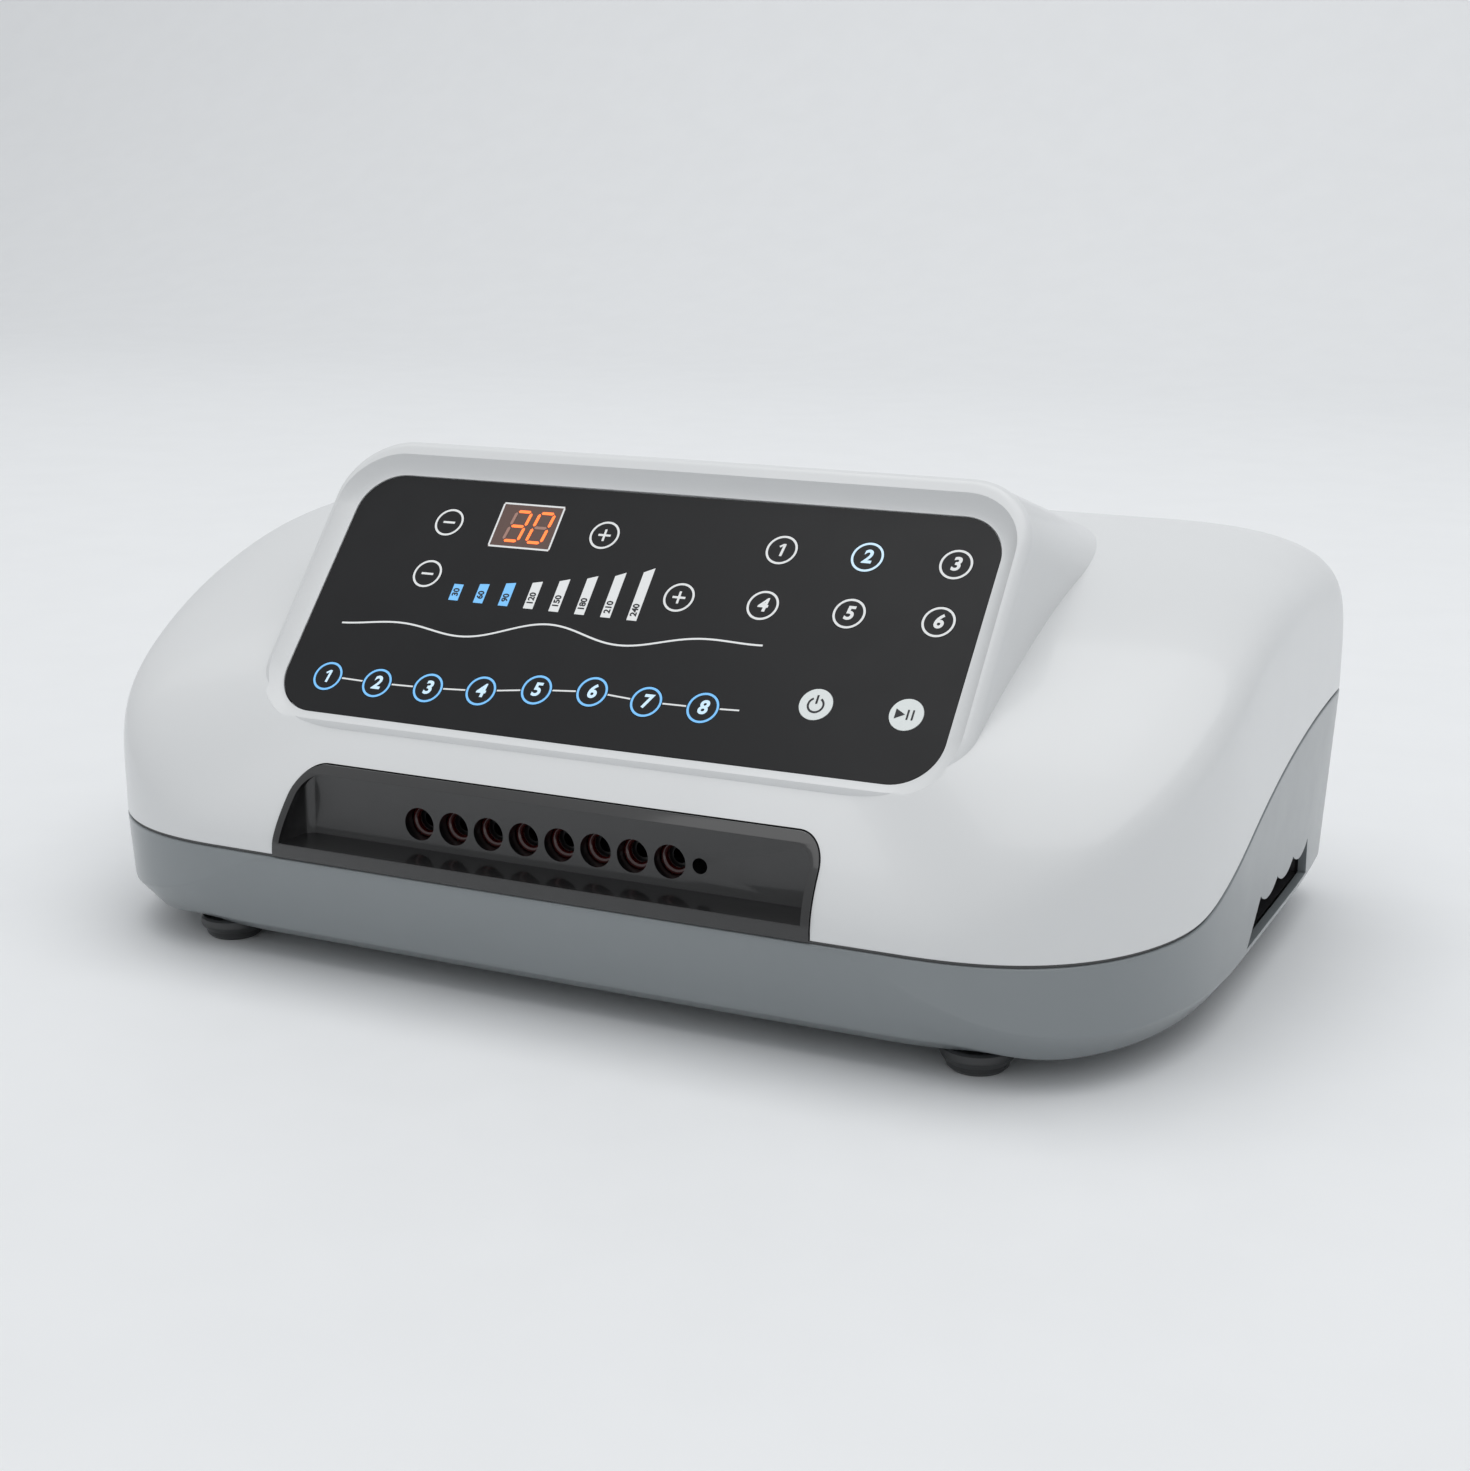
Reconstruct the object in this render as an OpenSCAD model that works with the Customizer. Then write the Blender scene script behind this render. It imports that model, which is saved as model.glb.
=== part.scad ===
// Compression therapy pump: a table-top air pump with a sloping key panel,
// eight hose ports in a front recess and a two-part moulded case on rubber feet.
// Millimetres. Origin: centre of the footprint on the table. +X right, +Y to the rear, +Z up.

/* [Body] */
// Overall width of the case
body_w = 360; // [340:1:380]
// Overall depth of the case
body_d = 229; // [219:1:239]
// Wall thickness of the two case halves
wall = 2.5; // [2:0.1:3]
// Reach of the front corner curve along the width
corner_x = 74; // [60:1:80]
// Reach of the front corner curve along the depth
corner_y = 97; // [85:1:100]
// Squareness of the front corner curve (2 is an ellipse)
corner_power = 2.62; // [2.2:0.01:3]
// Radius of the two rear corners
rear_r = 22.5; // [18:0.5:28]

/* [Seam between the halves] */
// Height of the seam across the front
seam_z = 37; // [35:0.5:39]
// How much higher the seam lies at the rear
seam_rise = 34.7; // [30:0.1:37]
// Where, along the depth, the seam starts to climb
seam_start = -57.8; // [-62:0.1:-50]
// Width of the shadow gap between the halves
seam_gap = 0.9; // [0.7:0.1:1.2]

/* [Dome] */
// Height at which the roof's front and rear slopes would meet
dome_z = 129.4; // [127:0.1:132]
// Depth position at which the two slopes would meet
roof_meet_y = 3.5; // [0:0.1:7]
// Fall of the roof towards the front
roof_fall_front = 0.49; // [0.45:0.005:0.52]
// Fall of the roof towards the rear
roof_fall_rear = 0.004; // [0:0.001:0.03]
// Reach of the soft crown that joins the two slopes
crown = 40; // [36:0.5:44]

/* [Raised head] */
// Tilt of the key panel from level
panel_tilt = 47.4; // [46:0.1:49]
// How far the panel's lower edge lies behind the front of the case
panel_set_back = 28.5; // [27:0.5:30]
// Height of the panel's lower edge
panel_z = 75; // [74:0.5:76]
// Width of the key panel
panel_w = 216.8; // [212:0.2:220]
// Length of the key panel up the slope
panel_l = 87; // [85:0.5:88]
// Corner radius of the key panel
panel_r = 14; // [10:0.5:18]
// Width of the white frame beside the panel
frame_side = 8.3; // [7:0.1:9]
// Width of the white frame above the panel
frame_top = 12.2; // [10:0.1:13]
// Width of the white frame below the panel
frame_low = 6; // [5:0.1:7]
// Height of the frame's ridge above the panel
frame_lift = 4.4; // [3.6:0.1:4.6]
// Rounding along the ridge of the frame
ridge_r = 4.2; // [3:0.1:5]
// Draft of the head's side faces
head_draft = 5; // [3:0.1:8]
// Draft of the head's roof, measured from the panel's normal
head_roof_draft = 26.4; // [24:0.1:28]

/* [Key panel] */
// Thickness of the printed panel sheet
sheet_t = 0.8; // [0.6:0.1:1]
// Width of the ledge that the sheet's edge rests on
ledge_w = 4; // [3:0.1:5]
// Thickness of the ledge
ledge_t = 2.2; // [2:0.1:2.6]
// Thickness of the key carrier's flange
carrier_t = 2; // [1.6:0.1:2.4]
// Radius of a key
key_r = 5; // [4.5:0.1:5.4]
// Radial gap round a key
key_gap = 0.15; // [0.1:0.01:0.2]
// Travel of a key
key_travel = 0.4; // [0.3:0.05:0.5]
// Thickness of the flange that holds a key in
key_flange_t = 0.4; // [0.3:0.05:0.5]
// How far the flange reaches past the key
key_flange_w = 0.6; // [0.5:0.1:0.8]
// Radius of the stem under a key
key_stem_r = 2; // [1.6:0.1:2.4]
// Gap between a stem's end and the dome switch
switch_gap = 0.5; // [0.5:0.05:0.8]
// Height of a dome switch
switch_h = 1.1; // [0.9:0.1:1.3]
// Radius of a dome switch
switch_r = 3; // [2.6:0.1:3.4]
// Thickness of the circuit boards
board_t = 1.6; // [1.2:0.1:2]
// Width of the display window
window_w = 22; // [20:0.5:24]
// Height of the display window
window_l = 16.4; // [15:0.2:18]

/* [Hose ports] */
// Number of hose ports
port_count = 8; // [6:1:8]
// Distance between neighbouring ports
port_pitch = 11.8; // [11.6:0.1:12]
// Radius of a port's bore
port_r = 4.95; // [4.7:0.05:5.1]
// Height of the ports' axes
port_z = 49.1; // [48.5:0.1:50]
// Radius of the small locating hole beside the ports
locating_r = 2.3; // [2:0.1:2.6]
// Distance from the last port to the locating hole
locating_step = 9.4; // [9:0.1:10]
// Half width of the port housing at the seam
housing_hw = 87.2; // [85:0.1:88]
// Height of the port housing's top edge
housing_top_z = 62.8; // [61.5:0.1:63.5]
// Corner radius at the top of the port housing
housing_r = 9; // [7:0.5:11]
// Sideways place of the port housing's middle
housing_x = -2; // [-4:0.5:0]
// How far the wall that the ports open in lies behind the front of the case
recess_depth = 13.9; // [13.3:0.1:14.5]
// Thickness of that wall
port_wall_t = 4; // [3.6:0.1:4.4]
// Height of the recess floor
recess_z = 41.6; // [41:0.1:42.4]

/* [Base] */
// Height of the case's underside above the table
base_z = 7; // [6:0.5:8]
// Height of the crease round the base
chine_z = 16; // [15:0.5:18]
// How far the underside is drawn in from the widest outline
tuck = 7.6; // [6:0.1:9]
// How far the rear of the underside is drawn in
rear_tuck = 12; // [10:0.5:13]
// Radius of a foot at the table
foot_r = 8.6; // [8:0.1:9]
// How far a foot's skirt reaches past the part on the table
foot_skirt = 1.8; // [1.2:0.1:2.4]
// Sideways distance of a foot from the middle
foot_x = 124.6; // [120:0.1:128]
// Distance from the front of the case to the front feet
foot_front = 25.2; // [23:0.1:28]
// Distance from the rear of the case to the rear feet
foot_rear = 34.5; // [31:0.5:40]

/* [Side grips] */
// Depth position of the grip's front end
grip_y0 = -14; // [-18:0.5:-10]
// Depth position of the grip's rear end
grip_y1 = 65; // [60:0.5:68]
// Height of the grip's lower edge
grip_z0 = 17.5; // [17:0.1:19]
// Height of the cusps along the upper edge
grip_z1 = 29.6; // [28:0.1:31]
// Distance between neighbouring cusps
scallop_pitch = 21.3; // [19:0.1:23]
// Drop of each scallop below the cusps
scallop_drop = 3.2; // [2:0.1:4]
// Depth of the grip's hollow at its front end
grip_depth = 20; // [16:0.5:24]

/* [Rear panel] */
// Sideways place of the rear panel's middle
inlet_x = 104; // [95:1:110]
// Height of the rear panel's middle
inlet_z = 43; // [42:0.5:45]
// Width of the rear panel's window
rear_w = 88; // [84:1:92]
// Height of the rear panel's window
rear_h = 34; // [32:0.5:36]

/* [Hidden] */

$fn = 48;
slack = 0.3;            // gap between fitted pieces
eps = 0.01;
half_w = body_w / 2;
front_y = -body_d / 2;
rear_y = body_d / 2;
panel_hw = panel_w / 2;
panel_y = front_y + panel_set_back;
port_wall_y = front_y + recess_depth;
port_back_y = port_wall_y + port_wall_t;

// Key positions on the panel: name, across, up the slope.
row_top = 71;
row_mid = 51.8;
row_low = 21.7;
cell_x0 = -92.9;
cell_pitch = 18.17;
cell_v = [12.4, 12, 12.4, 13.5, 16, 17.5, 16.3, 16.5];
KEYS = concat(
    [["key_time_down", -72.8, row_top], ["key_time_up", -17.3, row_top],
     ["key_pressure_down", -73, row_mid], ["key_pressure_up", 14.6, row_mid],
     ["key_mode_a", 41.8, row_top], ["key_mode_b", 68.9, row_top], ["key_mode_c", 96, row_top],
     ["key_mode_d", 41.8, row_mid], ["key_mode_e", 68.9, row_mid], ["key_mode_f", 96, row_mid],
     ["key_power", 67.8, row_low], ["key_start", 94.9, row_low]],
    [for (k = [0 : 7]) [str("key_cell_", k + 1), cell_x0 + k * cell_pitch, cell_v[k]]]);

white = [0.93, 0.94, 0.95];
grey = [0.42, 0.45, 0.47];
black = [0.05, 0.05, 0.06];
rubber = [0.1, 0.1, 0.11];
steel = [0.75, 0.76, 0.78];
copper = [0.72, 0.42, 0.22];
green = [0.1, 0.36, 0.22];
clear = [0.85, 0.88, 0.9];

// ---------- Curves ----------

// Height of the seam: level in front, then a climb that flattens towards the rear.
seam_ease = 10;
seam_power = 2.36;
function seam(y) =
    let (u = y - seam_start, run = (u + sqrt(u * u + seam_ease * seam_ease)) / 2,
         t = min(run / (rear_y + 0.5 - seam_start), 1))
    seam_z + seam_rise * (1 - pow(1 - t, seam_power));

// Height of the roof's middle line: two slopes joined by a soft crown.
function roof(y) =
    let (u = y - roof_meet_y, mean = (roof_fall_front + roof_fall_rear) / 2,
         skew = (roof_fall_rear - roof_fall_front) / 2)
    dome_z - mean * sqrt(u * u + crown * crown) - skew * u;

// Right half of the plan outline drawn in by i, front middle to rear middle.
// The third value is 0 where the wall faces the front and 1 where it faces the side or rear.
bow = 0.5;              // how far the front and rear walls bulge between their corners
straight_n = 4;
corner_n = 12;
side_n = 8;
rear_n = 5;
back_n = 3;
function half_outline(i) =
    let (w = half_w - i, f = front_y + bow + i, r = rear_y - bow - i, cx = corner_x - i,
         cy = corner_y - i, rr = rear_r - i, e = 2 / corner_power)
    concat(
        [for (k = [0 : straight_n - 1]) let (t = k / straight_n) [(w - cx) * t, f - bow * (1 - t * t), 0]],
        [for (k = [0 : corner_n]) let (a = 90 * k / corner_n, nx = pow(sin(a), 2 - e) / cx,
            ny = pow(cos(a), 2 - e) / cy)
            [w - cx + cx * pow(sin(a), e), f + cy - cy * pow(cos(a), e), nx / norm([nx, ny])]],
        [for (k = [1 : side_n]) [w, f + cy + (r - rr - f - cy) * k / side_n, 1]],
        [for (k = [1 : rear_n]) let (a = 90 * k / rear_n)
            [w - rr + rr * cos(a), r - rr + rr * sin(a), 1]],
        [for (k = [1 : back_n]) let (t = 1 - k / back_n) [(w - rr) * t, r + bow * (1 - t * t), 1]]);

// Whole ring from a right half: the left half is its mirror image.
function ring(half) =
    concat(half, [for (k = [len(half) - 2 : -1 : 1]) [-half[k][0], half[k][1], half[k][2]]]);

// Closed skin through mirror-symmetric rings, listed from the lowest up, capped in strips.
module loft(rings) {
    n = len(rings[0]);
    m = len(rings);
    pts = [for (r = rings) for (p = r) p];
    walls = [for (k = [0 : m - 2]) for (j = [0 : n - 1])
        let (a = k * n + j, b = k * n + (j + 1) % n, c = b + n, d = a + n) each [[a, d, c], [a, c, b]]];
    cap = [for (j = [0 : n / 2 - 1]) let (l0 = (n - j) % n, l1 = n - j - 1)
        each concat(j + 1 == l1 ? [] : [[j, j + 1, l1]], l0 == j ? [] : [[j, l1, l0]])];
    top = (m - 1) * n;
    polyhedron(pts, concat(walls, cap, [for (f = cap) [top + f[2], top + f[1], top + f[0]]]));
}

// Ring of the dome at share d of the outline, for a skin drawn in by i. Across the skin the height
// follows (1 - d^p)^(1/q): a full round in front, a steep wall with a tight shoulder at the sides.
dome_rings = 15;
dome_middle = -17.3;    // depth position of the point that the rings shrink to
front_powers = [2.89, 1.96];
side_powers = [4.97, 12.5];
rear_powers = [6.09, 5.25];
facing_power = 1.89;
blend_start = -40;      // the side's powers change to the rear's from here
blend_l = 140;
function mix(a, b, t) = a + (b - a) * t;
function smooth(t) = let (c = min(max(t, 0), 1)) c * c * (3 - 2 * c);
function dome_y(y, d) = mix(dome_middle, y, d);
function dome_ring(i, d) =
    ring([for (p = half_outline(i))
        let (w = pow(p[2], facing_power), powers = mix(front_powers,
             mix(side_powers, rear_powers, smooth((p[1] - blend_start) / blend_l)), w),
             y = dome_y(p[1], d), zs = seam(p[1]) + seam_gap / 2,
             rise = pow(max(1 - pow(d, powers[0]), 0), 1 / powers[1]))
        [p[0] * d, y, mix(zs, roof(y) - i, rise)]]);
function dome_share(k, n) = pow(sin(90 * (1 - k / n)), 0.6);

// Ring that follows the seam at a height offset.
function seam_ring(i, dz) = ring([for (p = half_outline(i)) [p[0], p[1], seam(p[1]) + dz]]);

// Ring of the head in the panel's own frame: a rounded rectangle at depth h.
function head_half(w, v0, v1, r0, r1) = concat(
    [[0, v0 - bow / 2]],
    [for (k = [0 : 6]) [w - r0 + r0 * sin(15 * k), v0 + r0 - r0 * cos(15 * k)]],
    [for (k = [0 : 8]) [w - r1 + r1 * cos(11.25 * k), v1 - r1 + r1 * sin(11.25 * k)]],
    [[0, v1 + bow / 2]]);

head_hw = panel_hw + frame_side;
head_r = panel_r + frame_side;
head_end_low = 10;      // depth of the head's end below the panel at its lower edge
head_end_slope = 0.63;  // and how much deeper for each unit up the slope

// The frame's ridge stands proud at the top and sides and sinks towards the lower edge.
function lift(v) = 0.8 + (frame_lift - 0.8) * min(max((v + frame_low) / 40, 0), 1);
function head_low(depth, inset) =
    ring([for (q = head_half(head_hw - inset + depth * tan(head_draft), -frame_low + inset,
        panel_l + frame_top - inset + depth * tan(head_roof_draft), head_r - inset,
        head_r - inset + depth * tan(head_draft)))
        [q[0], q[1], -depth]]);
head_depth = 80;
function head_end(inset) =
    let (low = head_low(head_depth, inset), high = head_low(0, inset))
    [for (k = [0 : len(low) - 1])
        let (t = (head_end_low + head_end_slope * (low[k][1] + frame_low)) / head_depth)
        high[k] + (low[k] - high[k]) * min(t, 1)];

module on_panel() {
    translate([0, panel_y, panel_z]) rotate([panel_tilt, 0, 0]) children();
}

// Flat rounded plate on the panel plane.
module panel_plate(grow, t) {
    w = panel_hw + grow;
    r = max(panel_r + grow, 2);
    linear_extrude(t) {
        translate([-w, -grow + r]) square([2 * w, panel_l + 2 * grow - 2 * r]);
        translate([-w + r, -grow]) square([2 * w - 2 * r, panel_l + 2 * grow]);
        for (sx = [-1, 1]) for (y = [-grow + r, panel_l + grow - r])
            translate([sx * (w - r), y]) circle(r);
    }
}

// ---------- Case ----------

// Solid dome and head, drawn in by i.
module dome_solid(i) {
    loft(concat(i > 0 ? [seam_ring(i, -4)] : [],
        [for (k = [0 : dome_rings - 2]) dome_ring(i, dome_share(k, dome_rings))]));
}

ridge_steps = 4;
module head_solid() {
    on_panel() loft(concat([head_end(0)],
        [for (k = [0 : ridge_steps])
            let (a = 90 * k / ridge_steps, in = ridge_r * (1 - cos(a)), out = ridge_r * (1 - sin(a)))
            [for (p = head_low(0, in)) [p[0], p[1], lift(p[1]) - out]]]));
}
module head_hollow() {
    top = -sheet_t - ledge_t;
    on_panel() loft([head_end(wall), [for (p = head_low(-top, wall)) [p[0], p[1], top]]]);
}

// Pocket for the panel sheet, flaring up to the ridge.
module panel_pocket() {
    on_panel() {
        translate([0, 0, -sheet_t]) panel_plate(slack, sheet_t + 0.3);
        loft([for (s = [[0, 0, 0], [1.2, 0.6, 0], [3.4, 2.2, 0], [6, 5, 0], [12, 5, 6]])
            [for (p = ring([for (q = head_half(panel_hw + slack + s[0], -slack - s[0] * 0.7,
                panel_l + slack + s[0], panel_r + s[0], panel_r + s[0])) [q[0], q[1], 0]]))
                [p[0], p[1], 0.2 + s[1] * lift(p[1]) / frame_lift + s[2]]]]);
        translate([0, 0, -sheet_t - ledge_t - 1]) panel_plate(-ledge_w, ledge_t + 2);
    }
}

// Front view outline of the port housing, grown by g, from the height low upwards.
module housing_outline(g, low) {
    w = housing_hw + g;
    top = housing_top_z + g;
    r = housing_r + g;
    lean = 3;
    foot = max(seam_z + 2, low + 0.5);
    polygon(concat([[-w, low], [w, low], [w, foot]],
        [for (k = [0 : 8]) [w - lean - r + r * cos(11.25 * k), top - r + r * sin(11.25 * k)]],
        [for (k = [8 : -1 : 0]) [-w + lean + r - r * cos(11.25 * k), top - r + r * sin(11.25 * k)]],
        [[-w, foot]]));
}
module housing_prism(g, y0, y1, low = seam_z - 3) {
    translate([housing_x, y1, 0]) rotate([90, 0, 0]) linear_extrude(y1 - y0) housing_outline(g, low);
}

// Screw posts: front pair and rear pair. The halves meet just above the seam.
POSTS = [[half_w - 24, front_y + 66.5], [half_w - 28, rear_y - 30.5]];
post_r = 5;
post_hole_r = 1.7;
screw_r = 1.5;
screw_head_r = 3;
screw_head_h = 2;
screw_grip = 12;
module at_posts() {
    for (p = POSTS) for (sx = [-1, 1])
        translate([sx * p[0], p[1], 0]) let ($split = seam(p[1]) + 1.5) children();
}

module upper_cover() {
    color(white) difference() {
        union() {
            dome_solid(0);
            head_solid();
        }
        difference() {
            union() {
                dome_solid(wall);
                head_hollow();
            }
            at_posts() translate([0, 0, $split]) cylinder(r = post_r, h = 100);
        }
        at_posts() translate([0, 0, $split - 1]) cylinder(r = post_hole_r, h = 13);
        panel_pocket();
        housing_prism(slack, front_y - 4, port_back_y + 9);
    }
}

// Height of the base's crease: level at the sides, climbing to the seam in mid front.
function crease(x, y) =
    let (t = min(max((165 - abs(x)) / 70, 0), 1))
    y > 0 ? chine_z : min(chine_z + 21 * t * t, seam(y) - 2);
function base_ring(i, share, tuck_in, rear_in, low) =
    ring([for (p = half_outline(i))
        let (back = min(max((p[1] - 40) / 70, 0), 1), in = tuck_in + (rear_in - tuck_in) * back * back,
             sx = (half_w - i - in) / (half_w - i), sy = (body_d / 2 - i - in) / (body_d / 2 - i))
        [p[0] * sx, p[1] * sy, low < 0 ? crease(p[0], p[1]) + share : low]]);

module base_solid(i) {
    draft = 1;
    loft([base_ring(i, 0, tuck, rear_tuck, base_z + i),
        base_ring(i, i / 2, draft, 4, -1),
        i > 0 ? seam_ring(i, 6) : seam_ring(0, -seam_gap / 2)]);
}

module grip_cut() {
    lobe = scallop_pitch / 2;
    r = (lobe * lobe + scallop_drop * scallop_drop) / (2 * scallop_drop);
    difference() {
        polygon([[grip_y0, grip_z0], [grip_y1, grip_z0], [grip_y1 - 2, grip_z1], [grip_y0 + 13, grip_z1]]);
        for (k = [0 : 2])
            translate([grip_y0 + 13 + lobe + k * scallop_pitch, grip_z1 - scallop_drop + r]) circle(r, $fn = 96);
    }
}

module at_feet() {
    for (sx = [-1, 1]) for (y = [front_y + foot_front, rear_y - foot_rear])
        translate([sx * foot_x, y, 0]) children();
}

foot_boss_r = 5;
foot_boss_top = 15;

module lower_case() {
    color(grey) difference() {
        union() {
            difference() {
                base_solid(0);
                base_solid(wall);
            }
            at_posts() translate([0, 0, base_z]) cylinder(r = post_r, h = $split - base_z);
            at_feet() translate([0, 0, base_z]) cylinder(r = foot_boss_r, h = foot_boss_top - base_z);
        }
        at_posts() {
            translate([0, 0, base_z - 1])
                cylinder(r = screw_head_r + 0.6, h = $split - screw_grip - base_z + 1);
            translate([0, 0, base_z]) cylinder(r = post_hole_r, h = 100);
        }
        at_feet() translate([0, 0, base_z - 1]) cylinder(r = post_hole_r, h = foot_boss_top - base_z - 1);
        for (sx = [-1, 1]) translate([sx * (half_w - 4), 0, 0]) rotate([90, 0, 90])
            translate([0, 0, sx < 0 ? -12 : -4]) linear_extrude(16) grip_cut();
        translate([inlet_x - rear_w / 2, rear_y - 14, inlet_z - rear_h / 2]) cube([rear_w, 20, rear_h]);
    }
}

module seam_gasket() {
    color(rubber) difference() {
        loft([seam_ring(0.7, -seam_gap / 2), seam_ring(0.7, seam_gap / 2)]);
        loft([seam_ring(wall - 0.3, -seam_gap / 2 - 1), seam_ring(wall - 0.3, seam_gap / 2 + 1)]);
    }
}

module feet() {
    skirt = foot_r + foot_skirt;
    color(rubber) at_feet() rotate_extrude() polygon([[screw_head_r + 0.6, 0], [foot_r - 1, 0], [foot_r, 1],
        [foot_r + 0.4, 2.4], [skirt - 0.3, base_z - 3.2], [skirt, base_z - 2.6], [skirt, base_z - 0.6],
        [skirt - 0.6, base_z], [post_hole_r, base_z], [post_hole_r, 3], [screw_head_r + 0.6, 3]]);
}
module foot_screws() {
    color(steel) at_feet() {
        translate([0, 0, 1]) cylinder(r = screw_head_r, h = 2);
        translate([0, 0, 3]) cylinder(r = screw_r, h = foot_boss_top - 5);
    }
}
module case_screws() {
    color(steel) at_posts() {
        translate([0, 0, $split - screw_grip - screw_head_h]) cylinder(r = screw_head_r, h = screw_head_h);
        translate([0, 0, $split - screw_grip]) cylinder(r = screw_r, h = screw_grip + 10);
    }
}

// Curved pocket behind each grip opening: deep in front, running out to the wall at the rear.
module grip(side) {
    x1 = half_w - wall - 1.6;
    x0 = x1 - grip_depth;
    y0 = grip_y0 - 3;
    y1 = grip_y1 + 3;
    z0 = grip_z0 - 2.5;
    z1 = grip_z1 + 3;
    t = 2;
    module plan(g) {
        polygon(concat([[x1 + (g < 0 ? 5 : 0), y0 - g]],
            [for (k = [0 : 12]) let (a = 7.5 * k)
                [x0 - g + (x1 - x0 + g - 1) * (1 - cos(a)) , y0 - g + (y1 - y0 + 2 * g) * pow(sin(a), 1.4)]],
            [[x1 + (g < 0 ? 5 : 0), y1 + g]]));
    }
    color(black) mirror([side < 0 ? 1 : 0, 0, 0]) difference() {
        translate([0, 0, z0]) linear_extrude(z1 - z0) plan(0);
        translate([0, y1 + 1, 0]) rotate([90, 0, 0]) linear_extrude(y1 - y0 + 2)
            polygon([[x1 - 2.8, z0 - 0.2], [x1 + 1, z0 - 0.2], [x1 + 1, z0 + 3.3]]);
        translate([0, 0, z0 + t]) linear_extrude(z1 - z0 - 2 * t) plan(-t);
        for (k = [0 : 4]) translate([x0 - 2, y0 + 8 + k * 8, z0 + t + 2])
            cube([10 + k * 2, 4, z1 - z0 - 2 * t - 4]);
    }
}
module grip_left() {
    grip(-1);
}
module grip_right() {
    grip(1);
}

// ---------- Hose ports ----------

port_x0 = -port_pitch * (port_count - 1) / 2 - 4.6;
module at_ports() {
    for (k = [0 : port_count - 1])
        translate([port_x0 + k * port_pitch, 0, port_z]) rotate([-90, 0, 0]) children();
}
locating_x = port_x0 + (port_count - 1) * port_pitch + locating_step;

// Front profile of the case's middle from the seam to the rear of the housing, as depth and height.
line_n = 10;
front_line = [for (k = [0 : line_n])
    let (last = (port_back_y - dome_middle) / (front_y - dome_middle),
         d = 1 - (1 - last) * pow(k / line_n, 2), zs = seam(front_y) + seam_gap / 2, y = dome_y(front_y, d))
    [y, mix(zs, roof(y), pow(1 - pow(d, front_powers[0]), 1 / front_powers[1]))]];
housing_proud = 0.6;    // how far the housing stands out of the dome
housing_low = seam(port_back_y) + seam_gap / 2 + 0.1;

// The recess follows the housing's outline inside an even rim and narrows towards the wall of ports.
module port_housing() {
    rim = 2.5;
    recess_back = 77;
    recess_front = housing_hw - 0.2;
    recess_mouth = front_y - 4;
    color(black) difference() {
        intersection() {
            housing_prism(0, recess_mouth, port_back_y);
            translate([-housing_hw - 10, 0, 0]) rotate([90, 0, 90]) linear_extrude(2 * housing_hw + 20)
                polygon(concat([[front_y, housing_low]],
                    [for (p = front_line) if (p[1] > housing_low)
                        [max(p[0] - housing_proud, front_y), p[1]]],
                    [[port_back_y, housing_low]]));
        }
        intersection() {
            housing_prism(-rim, recess_mouth - 1, port_wall_y, recess_z);
            translate([housing_x, 0, recess_z - 1]) linear_extrude(30) polygon([[-recess_front, recess_mouth],
                [recess_front, recess_mouth], [recess_back + 1, port_wall_y - 3],
                [recess_back - 2, port_wall_y + 1], [-recess_back + 2, port_wall_y + 1],
                [-recess_back - 1, port_wall_y - 3]]);
        }
        at_ports() translate([0, 0, port_wall_y - 1]) cylinder(r = port_r, h = port_wall_t + 2);
        translate([locating_x, port_wall_y - 1, port_z]) rotate([-90, 0, 0])
            cylinder(r = locating_r, h = port_wall_t + 2);
    }
}

ring_r = 5.4;
ring_hole_r = 3.2;
ring_t = 3;
bar_d = 9;
nozzle_r = 3.6;
nozzle_l = 8;
module port_rings() {
    color([0.75, 0.08, 0.06]) at_ports() translate([0, 0, port_back_y]) difference() {
        cylinder(r = ring_r - 0.05, h = ring_t);
        translate([0, 0, -1]) cylinder(r = ring_hole_r, h = ring_t + 2);
    }
}
module nozzle_bar() {
    bar_x0 = port_x0 - 9;
    bar_w = locating_x + 8 - bar_x0;
    color([0.2, 0.2, 0.22]) difference() {
        union() {
            translate([bar_x0, port_back_y, port_z - 8]) cube([bar_w, bar_d, 16]);
            at_ports() translate([0, 0, port_back_y + bar_d - 1]) cylinder(r = nozzle_r, h = nozzle_l + 1);
        }
        at_ports() {
            translate([0, 0, port_back_y - 1]) cylinder(r = ring_r, h = ring_t + 1);
            translate([0, 0, port_back_y]) cylinder(r = 2.4, h = bar_d + nozzle_l + 1);
        }
        translate([locating_x, port_back_y - 1, port_z]) rotate([-90, 0, 0])
            cylinder(r = locating_r + 0.7, h = 6);
    }
}
module port_hoses() {
    hose_l = 12;
    color(clear) at_ports() translate([0, 0, port_back_y + bar_d + 1]) difference() {
        cylinder(r = nozzle_r + 1.4, h = hose_l);
        translate([0, 0, -1]) cylinder(r = nozzle_r, h = hose_l + 2);
    }
}

// ---------- Key panel ----------

module panel_sheet() {
    color(black) on_panel() difference() {
        translate([0, 0, -sheet_t]) panel_plate(0, sheet_t);
        for (k = KEYS) translate([k[1], k[2], -sheet_t - 1]) cylinder(r = key_r + key_gap, h = sheet_t + 2);
        translate([window_u, window_v, -sheet_t - 1]) cube([window_w + 0.2, window_l + 0.2, sheet_t + 2]);
    }
}
window_u = -56.1;
window_v = 63.5;
module display_window() {
    color([0.35, 0.05, 0.03]) on_panel() translate([window_u + 0.1, window_v + 0.1, -sheet_t])
        cube([window_w, window_l, sheet_t]);
}

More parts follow.
